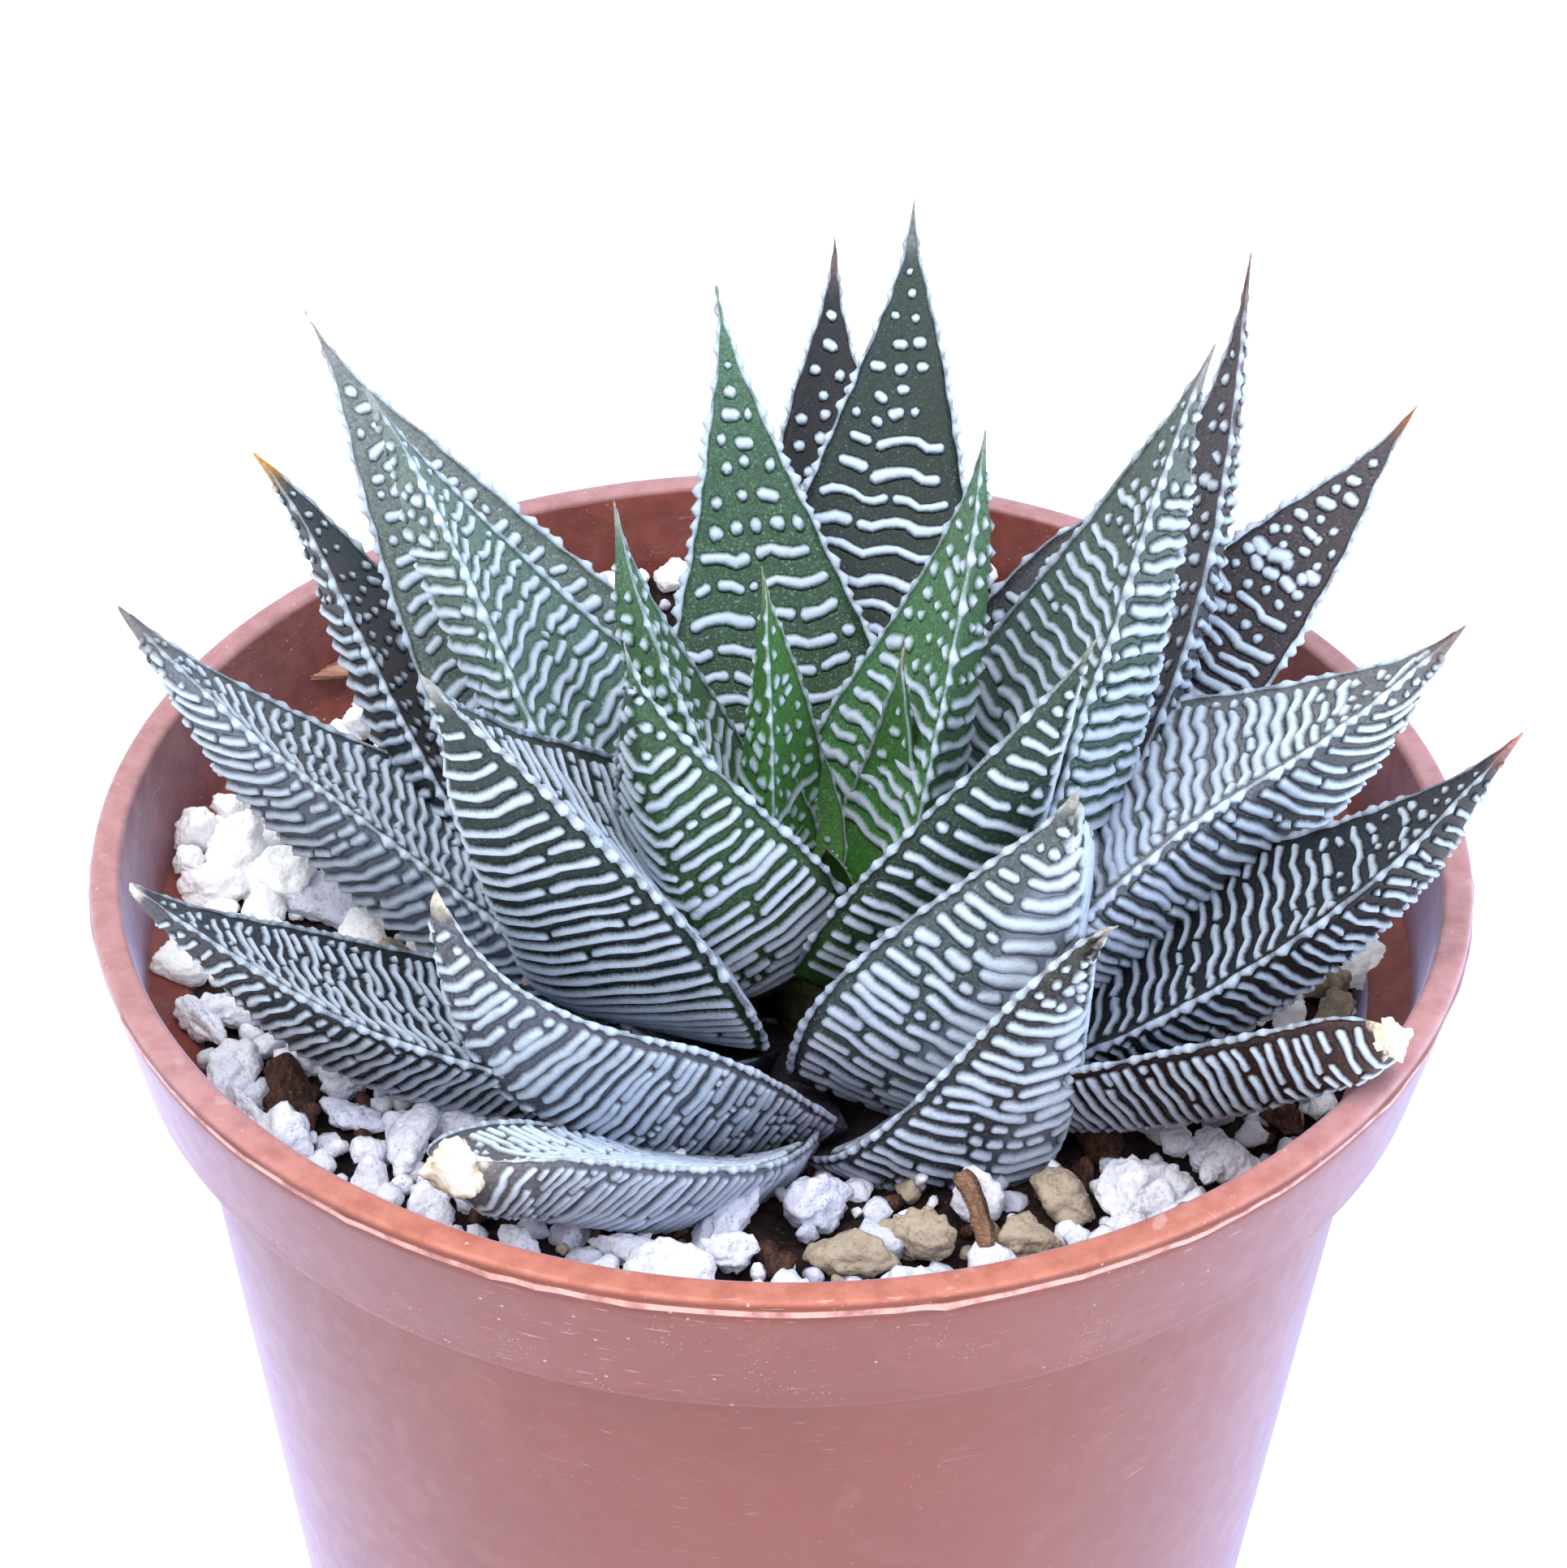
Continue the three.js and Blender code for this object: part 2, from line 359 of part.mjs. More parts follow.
// The inside of the pot, a clearance away from its wall.
function fillGeometry() {
  const low = FLOOR + GAP + 1.6;
  return lathe([[0, FLOOR + GAP], [insideRadius(low) - GAP - 1.7, FLOOR + GAP],
    ...[low, STEP_LOW, STEP_HIGH, 72].map((z) => [insideRadius(z) - GAP, z + 0.2]), [0, 72.2],
  ].map(([r, z]) => new THREE.Vector2(r, z)), SIDES);
}
const lowFill = new THREE.CylinderGeometry(45, 45, 60, SIDES / 2);
lowFill.rotateX(Math.PI / 2);
let mix = solid(mixGeometry()).add(solid(lowFill)).intersect(solid(fillGeometry())).subtract(stemGrown);
for (const other of [...Object.values(grown), ...grainsGrown, ...strawsGrown]) mix = mix.subtract(other);
mix = largest(mix);

// ---- the assembly ---------------------------------------------------------
const group = new THREE.Group();
group.add(piece('pot', pot, COLOURS.pot, 0.55));
group.add(piece('potting_mix', mix, COLOURS.mix, 0.95));

const plant = new THREE.Group();
plant.add(piece('stem', stem, COLOURS.stem, 0.8));
for (const name of Object.keys(LEAVES)) {
  const leaf = LEAVES[name];
  const colour = leaf.rank > 4 ? COLOURS.leaf_young : leaf.rank > 1 ? COLOURS.leaf_mid : COLOURS.leaf_old;
  plant.add(piece(name, leaves[name], colour, 0.5, leaf.line[0]));
}
group.add(plant);

const dressing = new THREE.Group();
for (const [name, g] of Object.entries(GRAINS)) {
  const kind = name.split('_')[0];
  dressing.add(piece(name, grains[name], COLOURS[kind], 0.95, g.at));
}
dressing.add(piece('straw_01', straws.straw_01, COLOURS.straw, 0.8));
dressing.add(piece('fibre_01', straws.fibre_01, COLOURS.straw, 0.8));
dressing.add(piece('leaf_scrap', straws.leaf_scrap, COLOURS.scrap, 0.8));
group.add(dressing);

export default group;
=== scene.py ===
# Potted haworthia: the looks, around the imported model. Metres, +Z up, the front faces -Y.
import math

import bmesh
import bpy
import numpy as np
from mathutils import Matrix, Vector
from mathutils.kdtree import KDTree


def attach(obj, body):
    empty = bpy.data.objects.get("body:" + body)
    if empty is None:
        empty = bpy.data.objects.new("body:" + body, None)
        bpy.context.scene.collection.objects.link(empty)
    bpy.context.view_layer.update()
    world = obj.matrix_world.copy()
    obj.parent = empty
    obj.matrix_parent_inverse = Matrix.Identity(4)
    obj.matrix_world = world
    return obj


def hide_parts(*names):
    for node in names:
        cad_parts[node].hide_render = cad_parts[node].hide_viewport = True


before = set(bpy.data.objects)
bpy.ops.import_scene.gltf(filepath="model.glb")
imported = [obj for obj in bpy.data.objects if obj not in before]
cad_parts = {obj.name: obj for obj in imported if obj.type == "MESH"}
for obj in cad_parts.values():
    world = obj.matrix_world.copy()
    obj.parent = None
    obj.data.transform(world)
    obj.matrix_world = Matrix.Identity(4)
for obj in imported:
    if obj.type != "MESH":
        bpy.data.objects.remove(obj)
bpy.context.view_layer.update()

MM = 0.001
scene = bpy.context.scene


# ---------------------------------------------------------------- camera
def set_camera():
    yaw, pitch, roll = 0.00046, 0.623727, 0.0137434
    fwd = Vector((math.sin(yaw) * math.cos(pitch), math.cos(yaw) * math.cos(pitch), -math.sin(pitch)))
    right = Vector((math.cos(yaw), -math.sin(yaw), 0.0))
    up = right.cross(fwd)
    r2 = math.cos(roll) * right + math.sin(roll) * up
    u2 = -math.sin(roll) * right + math.cos(roll) * up
    data = bpy.data.cameras.new("camera")
    data.sensor_width = 36.0
    data.lens = 4120.71 * 36.0 / 1932.0
    data.clip_start = 0.005
    data.clip_end = 20.0
    cam = bpy.data.objects.new("camera", data)
    scene.collection.objects.link(cam)
    cam.matrix_world = Matrix((
        (r2.x, u2.x, -fwd.x, 0.0),
        (r2.y, u2.y, -fwd.y, -0.167342),
        (r2.z, u2.z, -fwd.z, 0.198076),
        (0.0, 0.0, 0.0, 1.0)))
    scene.camera = cam


set_camera()


# ---------------------------------------------------------------- small helpers
def lin(r, g, b):
    """A screen colour, 0-255, as linear RGBA."""
    def c(v):
        v = v / 255.0
        return v / 12.92 if v <= 0.04045 else ((v + 0.055) / 1.055) ** 2.4
    return (c(r), c(g), c(b), 1.0)


def smooth(x, lo, hi):
    x = np.clip((np.asarray(x, float) - lo) / (hi - lo), 0.0, 1.0)
    return x * x * (3 - 2 * x)


def noise3(p, seed=0):
    """Smooth lattice noise, -1 to 1, at points p."""
    p = np.asarray(p, float)
    i = np.floor(p).astype(np.int64)
    f = p - i
    f = f * f * (3 - 2 * f)

    def h(dx, dy, dz):
        n = ((i[:, 0] + dx) * 374761393 + (i[:, 1] + dy) * 668265263 + (i[:, 2] + dz) * 1440662683 + seed * 974711) & 0xffffffff
        n = ((n ^ (n >> 13)) * 1274126177) & 0xffffffff
        n = n ^ (n >> 16)
        return (n & 0xffff) / 32767.5 - 1.0

    def mix(a, b, k):
        return a + (b - a) * k
    x0 = mix(mix(h(0, 0, 0), h(1, 0, 0), f[:, 0]), mix(h(0, 1, 0), h(1, 1, 0), f[:, 0]), f[:, 1])
    x1 = mix(mix(h(0, 0, 1), h(1, 0, 1), f[:, 0]), mix(h(0, 1, 1), h(1, 1, 1), f[:, 0]), f[:, 1])
    return mix(x0, x1, f[:, 2])


def fractal(p, octaves=3, seed=0):
    p = np.asarray(p, float)
    total, amp = np.zeros(len(p)), 1.0
    for k in range(octaves):
        total += amp * noise3(p * 2.03 ** k, seed + 31 * k)
        amp *= 0.5
    return total


class Soup:
    """Gathers closed bodies, in millimetres, into one mesh with point attributes."""

    def __init__(self, *names):
        self.v, self.q, self.t, self.n = [], [], [], 0
        self.a = {n: [] for n in names}

    def add(self, verts, quads=None, tris=None, **attrs):
        verts = np.asarray(verts, float)
        self.v.append(verts)
        quads = np.zeros((0, 4), int) if quads is None else np.asarray(quads, int).reshape(-1, 4)
        tris = np.zeros((0, 3), int) if tris is None else np.asarray(tris, int).reshape(-1, 3)
        # faces look outwards: a closed shell has a positive volume
        c = (verts - verts.mean(0))[np.concatenate([tris, quads[:, :3], quads[:, [0, 2, 3]]])]
        if (c[:, 0] * np.cross(c[:, 1], c[:, 2])).sum() < 0:
            quads, tris = quads[:, ::-1], tris[:, ::-1]
        if len(quads):
            self.q.append(quads + self.n)
        if len(tris):
            self.t.append(tris + self.n)
        for k, store in self.a.items():
            store.append(np.broadcast_to(np.asarray(attrs.get(k, 0.0), float), (len(verts),)))
        self.n += len(verts)

    def points(self):
        return np.concatenate(self.v)

    def build(self, name, material, warp=None):
        v = self.points()
        attrs = {k: np.concatenate(x) for k, x in self.a.items()}
        if warp is not None:
            v = warp(v, attrs)
        q = np.concatenate(self.q) if self.q else np.zeros((0, 4), int)
        t = np.concatenate(self.t) if self.t else np.zeros((0, 3), int)
        me = bpy.data.meshes.new(name)
        me.vertices.add(len(v))
        me.vertices.foreach_set("co", (v * MM).astype(np.float32).ravel())
        me.loops.add(q.size + t.size)
        me.loops.foreach_set("vertex_index", np.concatenate([q.ravel(), t.ravel()]).astype(np.int32))
        me.polygons.add(len(q) + len(t))
        me.polygons.foreach_set("loop_start", np.concatenate([np.arange(len(q)) * 4, q.size + np.arange(len(t)) * 3]).astype(np.int32))
        me.polygons.foreach_set("use_smooth", np.ones(len(q) + len(t), bool))
        me.update(calc_edges=True)
        for k, x in attrs.items():
            me.attributes.new(k, "FLOAT", "POINT").data.foreach_set("value", x.astype(np.float32))
        me.validate()
        me.materials.append(material)
        ob = bpy.data.objects.new(name, me)
        scene.collection.objects.link(ob)
        return ob


def ring_quads(rings, m, closed=True):
    """Quads between consecutive rings of m points each."""
    j = np.arange(m if closed else m - 1)
    k = (j + 1) % m
    out = []
    for i in range(rings - 1):
        a, b = i * m, (i + 1) * m
        out.append(np.stack([a + j, a + k, b + k, b + j], 1))
    return np.concatenate(out)


def end_caps(rings, m, flip=False):
    """Fans that close the first and last ring onto two extra points, which come after the rings."""
    j = np.arange(m)
    k = (j + 1) % m
    c0, c1 = rings * m, rings * m + 1
    last = (rings - 1) * m
    return np.concatenate([np.stack([np.full(m, c0), k, j], 1), np.stack([np.full(m, c1), last + j, last + k], 1)])


# ---------------------------------------------------------------- material helper
class Mat:
    """A Principled material and the nodes that feed it."""

    def __init__(self, name, rough=0.5, **sockets):
        self.m = bpy.data.materials.new(name)
        self.m.use_nodes = True
        self.t = self.m.node_tree
        self.t.nodes.clear()
        out = self.t.nodes.new("ShaderNodeOutputMaterial")
        self.b = self.t.nodes.new("ShaderNodeBsdfPrincipled")
        self.t.links.new(self.b.outputs[0], out.inputs[0])
        self.b.inputs["Roughness"].default_value = rough
        for k, v in sockets.items():
            self.b.inputs[k.replace("_", " ")].default_value = v
        tc = self.t.nodes.new("ShaderNodeTexCoord")
        self.pos = self.vec("SCALE", tc.outputs["Object"], scale=1000.0)   # millimetres

    def put(self, sock, value):
        if isinstance(value, bpy.types.NodeSocket):
            self.t.links.new(value, sock)
        elif value is not None:
            sock.default_value = value

    def vec(self, op, a, b=None, scale=None):
        n = self.t.nodes.new("ShaderNodeVectorMath")
        n.operation = op
        self.put(n.inputs[0], a)
        if b is not None:
            self.put(n.inputs[1], b)
        if scale is not None:
            self.put(n.inputs["Scale"], scale)
        return n.outputs["Value"] if op in ("LENGTH", "DOT_PRODUCT") else n.outputs["Vector"]

    def math(self, op, a, b=None, c=None, clamp=False):
        n = self.t.nodes.new("ShaderNodeMath")
        n.operation = op
        n.use_clamp = clamp
        for s, x in zip(n.inputs, (a, b, c)):
            self.put(s, x)
        return n.outputs[0]

    def noise(self, scale, detail=3.0, rough=0.55, vec=None, dist=0.0):
        n = self.t.nodes.new("ShaderNodeTexNoise")
        self.put(n.inputs["Vector"], vec if vec is not None else self.pos)
        n.inputs["Scale"].default_value = scale
        n.inputs["Detail"].default_value = detail
        n.inputs["Roughness"].default_value = rough
        n.inputs["Distortion"].default_value = dist
        return n.outputs["Fac"]

    def cells(self, scale, vec=None, feature="F1", random=1.0):
        n = self.t.nodes.new("ShaderNodeTexVoronoi")
        n.feature = feature
        self.put(n.inputs["Vector"], vec if vec is not None else self.pos)
        n.inputs["Scale"].default_value = scale
        n.inputs["Randomness"].default_value = random
        return n

    def attr(self, name):
        n = self.t.nodes.new("ShaderNodeAttribute")
        n.attribute_type = "GEOMETRY"
        n.attribute_name = name
        return n.outputs["Fac"]

    def step(self, x, lo, hi, a=0.0, b=1.0):
        n = self.t.nodes.new("ShaderNodeMapRange")
        n.interpolation_type = "SMOOTHSTEP"
        self.put(n.inputs["Value"], x)
        n.inputs["From Min"].default_value = lo
        n.inputs["From Max"].default_value = hi
        n.inputs["To Min"].default_value = a
        n.inputs["To Max"].default_value = b
        return n.outputs["Result"]

    def mix(self, fac, a, b, mode="MIX"):
        n = self.t.nodes.new("ShaderNodeMix")
        n.data_type = "RGBA"
        n.blend_type = mode
        self.put(n.inputs[0], fac)
        self.put(n.inputs[6], a)
        self.put(n.inputs[7], b)
        return n.outputs[2]

    def ramp(self, fac, *stops):
        n = self.t.nodes.new("ShaderNodeValToRGB")
        self.put(n.inputs[0], fac)
        e = n.color_ramp.elements
        while len(e) < len(stops):
            e.new(0.5)
        for el, (p, c) in zip(e, stops):
            el.position = p
            el.color = c
        return n.outputs[0]

    def split(self, vec=None):
        n = self.t.nodes.new("ShaderNodeSeparateXYZ")
        self.put(n.inputs[0], vec if vec is not None else self.pos)
        return n.outputs

    def join(self, x, y, z):
        n = self.t.nodes.new("ShaderNodeCombineXYZ")
        for s, v in zip(n.inputs, (x, y, z)):
            self.put(s, v)
        return n.outputs[0]

    def bump(self, height, strength, distance):
        n = self.t.nodes.new("ShaderNodeBump")
        n.inputs["Strength"].default_value = strength
        n.inputs["Distance"].default_value = distance
        self.put(n.inputs["Height"], height)
        self.t.links.new(n.outputs[0], self.b.inputs["Normal"])

    def colour(self, c):
        self.put(self.b.inputs["Base Color"], c)

    def roughness(self, r):
        self.put(self.b.inputs["Roughness"], r)


# ---------------------------------------------------------------- the leaves' shapes
# Four points of the middle line (mm), the direction across at the base, how that turns along the
# leaf, half width, how the width fades, depth of the keel, width left at a dried end, age rank.
LEAVES = {
    1: ([[3.02,-3.89,70.82],[4.51,8.7,80.84],[7.82,21.25,90.6],[8.14,32.98,101.83]], [-0.991,0.137], [0.074,0.088,0.068], 10.22, 1.3, 0.8, 0, 3),
    2: ([[1.57,-4.07,71.34],[-0.45,5.75,80.51],[-2.41,15.44,89.8],[-4.8,23.38,100.64]], [-0.974,-0.226], [-0.091,-0.108,-0.082], 9.74, 1.63, 0.8, 0, 4),
    3: ([[2.53,-4.04,67.95],[2.75,11.23,75.94],[2.53,25.49,85.49],[3.03,39.23,95.85]], [-1,0.011], [-0.003,-0.004,-0.002], 9.31, 1.3, 0.8, 0, 1),
    4: ([[-1.56,-5.6,69.71],[-12.5,3.11,78.05],[-21.76,11.11,88.54],[-30.27,18.75,100.04]], [-0.647,-0.763], [-0.334,-0.449,-0.396], 11.37, 1.3, 0.8, -0.01, 3),
    5: ([[-0.7,-6.02,71.56],[-9.73,-1.73,80.96],[-17.53,1.8,91.57],[-24.84,4.88,102.73]], [-0.412,-0.911], [-0.101,0.172,0.643], 9.66, 0.97, 0.9, 0, 4),
    6: ([[-1.29,-5.82,67.42],[-18.17,4.02,64.93],[-22.56,9.19,83.57],[-33.78,16.03,91.45]], [-0.558,-0.83], [0.343,0.462,0.402], 9.5, 0.9, 0.87, 0, 1),
    7: ([[-2.34,-7.51,67.03],[-14.63,-3.17,74.4],[-29.45,-0.87,78.2],[-40.44,3.27,88.04]], [-0.272,-0.962], [-0.075,0.533,0.48], 10.14, 0.79, 0.98, 0, 2),
    8: ([[-2.08,-10.25,67.62],[-15.34,-14.98,68.81],[-26.18,-18.62,75.41],[-36.1,-20.32,84.92]], [0.284,-0.959], [0.342,0.108,0.221], 9.28, 0.56, 0.77, 0, 1),
    9: ([[3.08,-14.29,66.28],[-6.55,-14.65,71.13],[-16.34,-20.47,73.65],[-18.79,-22.05,85.98]], [0.335,-0.942], [0.126,0.935,0.041], 9.41, 0.46, 0.81, 0, 2),
    10: ([[0.99,-17.38,64.5],[-4.45,-25.33,67.1],[-12.09,-27.07,75.58],[-18.97,-34.7,76.34]], [0.655,-0.755], [0.88,-0.068,0.64], 7.06, 0.48, 0.7, 0.42, 1),
    11: ([[-1.35,-9.39,72.36],[-6.32,-12.31,82.28],[-13.82,-17.47,89.6],[-19.14,-20.5,99.24]], [0.53,-0.848], [-0.5,0.053,-0.076], 11.43, 1.05, 1.12, 0, 4),
    12: ([[0.52,-6.96,73.18],[-1.1,-6.1,82.88],[-8.62,-4.18,90.22],[-9.75,-4,100.18]], [-0.277,-0.961], [0.324,0.386,0.318], 8.06, 1.26, 0.82, 0, 6),
    13: ([[-0.22,-9.06,73.05],[-3.86,-11.11,80.84],[-7.75,-13.31,88.51],[-8.72,-14.25,97.46]], [0.521,-0.854], [0.62,0.703,0.559], 8.22, 1.51, 0.8, 0, 6),
    14: ([[0.9,-6.38,74.21],[1.53,-6.11,81.88],[-0.22,-5.41,89.3],[-1.23,-5.15,96.81]], [-0.5,-0.866], [0.172,0.198,0.141], 5.44, 1.42, 0.87, 0, 7),
    15: ([[1.43,-7.33,73.25],[0.95,-7.32,78.58],[-0.66,-6.52,83.72],[-0.73,-6.48,89.11]], [-0.365,-0.931], [0.007,0.112,0.104], 4.76, 1.6, 0.78, 0, 8),
    16: ([[2.15,-5.61,74.82],[1.97,-3.07,77.42],[2.2,-1.66,80.48],[1.6,-1.99,84.16]], [-0.989,-0.149], [0.013,0.015,0.01], 2.4, 1.45, 0.8, 0, 9),
    17: ([[4.12,-6.6,73],[7.27,-4.82,78.6],[6.34,-4.64,85.02],[6.97,-4.5,91.2]], [-0.592,0.806], [-0.027,-0.09,-0.041], 4.85, 1.54, 0.79, 0, 7),
    18: ([[2.98,-5.99,73.37],[4.84,-3.55,83.26],[10.52,-0.38,91.85],[11.42,1.09,102.25]], [-0.643,0.766], [-0.172,-0.441,-0.491], 8.34, 1.22, 0.87, 0, 6),
    19: ([[5.18,-8.86,72.22],[9.44,-10.6,80.5],[13.98,-11.49,88.78],[17.4,-12.89,97.52]], [0.314,0.95], [-0.468,-0.536,-0.531], 9.41, 1.57, 0.8, 0, 5),
    20: ([[5.54,-10.38,68.81],[9.84,-13.89,75.03],[14.91,-14.25,81.8],[16.44,-16.64,89.8]], [0.498,0.867], [-0.072,-0.737,-0.326], 11.89, 1.15, 0.98, 0, 3),
    21: ([[4.86,-12.32,64.3],[12.97,-18.05,67.5],[13.38,-17.91,78.84],[18.63,-22.41,84.59]], [0.591,0.806], [-0.057,0.011,-0.022], 11.19, 1.36, 0.9, 0, 2),
    22: ([[6.44,-6.33,70.33],[13.03,-2.94,82.29],[19.02,-0.05,94.66],[24.29,2.09,107.54]], [-0.427,0.904], [-0.099,-0.212,-0.403], 11.2, 1.19, 1, 0, 4),
    23: ([[6.22,-5.13,67.95],[19.77,6.03,74.32],[26.85,13.24,87.72],[28.74,21.48,103.63]], [-0.763,0.646], [-0.408,-0.493,-0.493], 9.63, 1.33, 0.89, 0, 2),
    24: ([[5.65,-5.47,68.13],[17.59,4.56,75.39],[30.58,13.98,81.82],[41.06,23.55,91.83]], [-0.634,0.773], [0.233,0.283,0.238], 9.5, 1.11, 0.8, 0, 1),
    25: ([[7.43,-7.18,69.4],[13.86,-2.56,83.05],[30.91,-1.62,80.63],[40.72,0.86,89.55]], [-0.235,0.972], [0.017,-0.216,-0.353], 13.22, 1.13, 1.4, 0, 2),
    26: ([[7.15,-8.71,67.37],[20.86,-10.4,71.96],[32.86,-12.4,79],[41.72,-12.5,90.95]], [0.109,0.994], [0.032,-0.02,-0.11], 10.19, 1.02, 1.04, 0, 1),
    27: ([[6.13,-9.97,67.75],[16.93,-16.17,68],[26.11,-20.96,73.8],[35.01,-25.78,80.2]], [0.48,0.877], [-0.067,-0.432,-1.044], 6.88, 1.24, 0.74, 0.42, 1),
    28: ([[4.61,-4.94,67.64],[11.83,5.48,71.98],[17.63,15.18,79.07],[24.49,24.46,85.68]], [-0.829,0.56], [0.034,0.046,0.086], 9.34, 0.63, 0.8, 0, 1),
}


class Leaf:
    """One leaf: t runs from base to tip, s across from -1 to 1, face +1 is the upper face."""

    def __init__(self, row, end=1.0, pinch=(0.78, 0.42), foot=0.7, rise=0.35):
        self.pinch, self.foot, self.rise = pinch, foot, rise
        self.P = np.array(row[0], float)
        self.side = np.array([row[1][0], row[1][1], 0.0])
        self.turn, self.W, self.n, self.kh, self.we = row[2], row[3], row[4], row[5], row[6]
        self.end = end
        self.T = np.linspace(0, end, 401)
        mid, self.tan, self.across, self.up, self.w = self.frame(self.T)
        d = np.linalg.norm(np.diff(mid, axis=0), axis=1)
        self.U = np.concatenate([[0.0], np.cumsum(d)])
        self.length = self.U[-1]

    def frame(self, t):
        P, t = self.P, np.asarray(t, float)[:, None]
        mid = (1 - t) ** 3 * P[0] + 3 * (1 - t) ** 2 * t * P[1] + 3 * (1 - t) * t * t * P[2] + t ** 3 * P[3]
        d = 3 * ((1 - t) ** 2 * (P[1] - P[0]) + 2 * (1 - t) * t * (P[2] - P[1]) + t * t * (P[3] - P[2]))
        tan = d / np.linalg.norm(d, axis=1, keepdims=True)
        a = self.side - (tan @ self.side)[:, None] * tan
        a /= np.linalg.norm(a, axis=1, keepdims=True)
        b = np.cross(tan, a)
        ph = self.turn[0] * (1 - t) ** 2 + 2 * self.turn[1] * t * (1 - t) + self.turn[2] * t * t
        across = np.cos(ph) * a + np.sin(ph) * b
        up = np.cross(tan, across)
        t = t[:, 0]
        w = (np.maximum(1 - t ** 1.6, 1e-5) ** self.n * (1 - self.we) + self.we) * (self.foot + (1 - self.foot) * np.sin(np.minimum(t / self.rise, 1) * np.pi / 2))
        if self.we < 0.1:
            w = w * (1 - self.pinch[1] * smooth(t, self.pinch[0], 0.99))
        else:
            c = np.clip((self.end - t) / 0.09, 0.0, 1.0)
            w = w * (0.12 + 0.88 * np.sqrt(c * (2 - c)))
        return mid, tan, across, up, self.W * w

    def surf(self, t, s, face):
        mid, _, across, up, w = self.frame(t)
        s = np.asarray(s, float)[:, None]
        w = w[:, None]
        if face > 0:
            return mid + w * s * across - 0.12 * w * (1 - s * s) * up
        return mid + w * s * across - (self.kh * w + 0.1) * (1 - (s * s + 0.0015) ** 0.7) * up

    def normal(self, t, s, face):
        t, s = np.asarray(t, float), np.asarray(s, float)
        t0, t1 = np.clip(t - 0.004, 0, self.end), np.clip(t + 0.004, 0, self.end)
        s0, s1 = np.clip(s - 0.03, -1, 1), np.clip(s + 0.03, -1, 1)
        n = np.cross(self.surf(t1, s, face) - self.surf(t0, s, face), self.surf(t, s1, face) - self.surf(t, s0, face)) * face
        return n / np.maximum(np.linalg.norm(n, axis=1, keepdims=True), 1e-9)

    def t_at(self, u):
        return np.interp(u, self.U, self.T)

    def w_at(self, t):
        return np.interp(t, self.T, self.w)


def leaf_body(soup, leaf, steps=58):
    t = leaf.end * (1 - (1 - np.linspace(0, 1, steps)) ** 1.3)
    t = t[:-1]
    up_s = np.linspace(1, -1, 11)
    down_s = np.linspace(-1, 1, 19)[1:-1]
    m = len(up_s) + len(down_s)
    rings = []
    for ti in t:
        rings.append(np.concatenate([leaf.surf(np.full(len(up_s), ti), up_s, 1), leaf.surf(np.full(len(down_s), ti), down_s, -1)]))
    v = np.concatenate(rings)
    n = len(t)
    ends = np.stack([leaf.surf([0.0], [0.0], 1)[0] - 0.5 * leaf.tan[0], leaf.surf([leaf.end], [0.0], 1)[0] - 0.04 * leaf.up[-1]])
    tt = np.concatenate([np.repeat(t, m), [0.0, leaf.end]]) / leaf.end
    s_all = np.concatenate([np.tile(np.concatenate([up_s, down_s]), n), [0.0, 0.0]])
    ff = np.concatenate([np.tile(np.concatenate([np.ones(len(up_s)), np.zeros(len(down_s))]), n), [0.5, 0.5]])
    soup.add(np.concatenate([v, ends]), ring_quads(n, m)[:, ::-1], end_caps(n, m)[:, ::-1], hh=0.0, tt=tt, ss=s_all, rr=0.5, ff=ff)


SECTION_X = np.array([-1.70, -0.78, 0.0, 0.78, 1.70])
SECTION_Z = np.array([-0.10, 0.56, 1.0, 0.56, -0.10])
SECTION_H = np.array([0.0, 0.62, 1.0, 0.62, 0.0, 0.0])
CAP = np.radians([14.0, 48.0, 90.0])


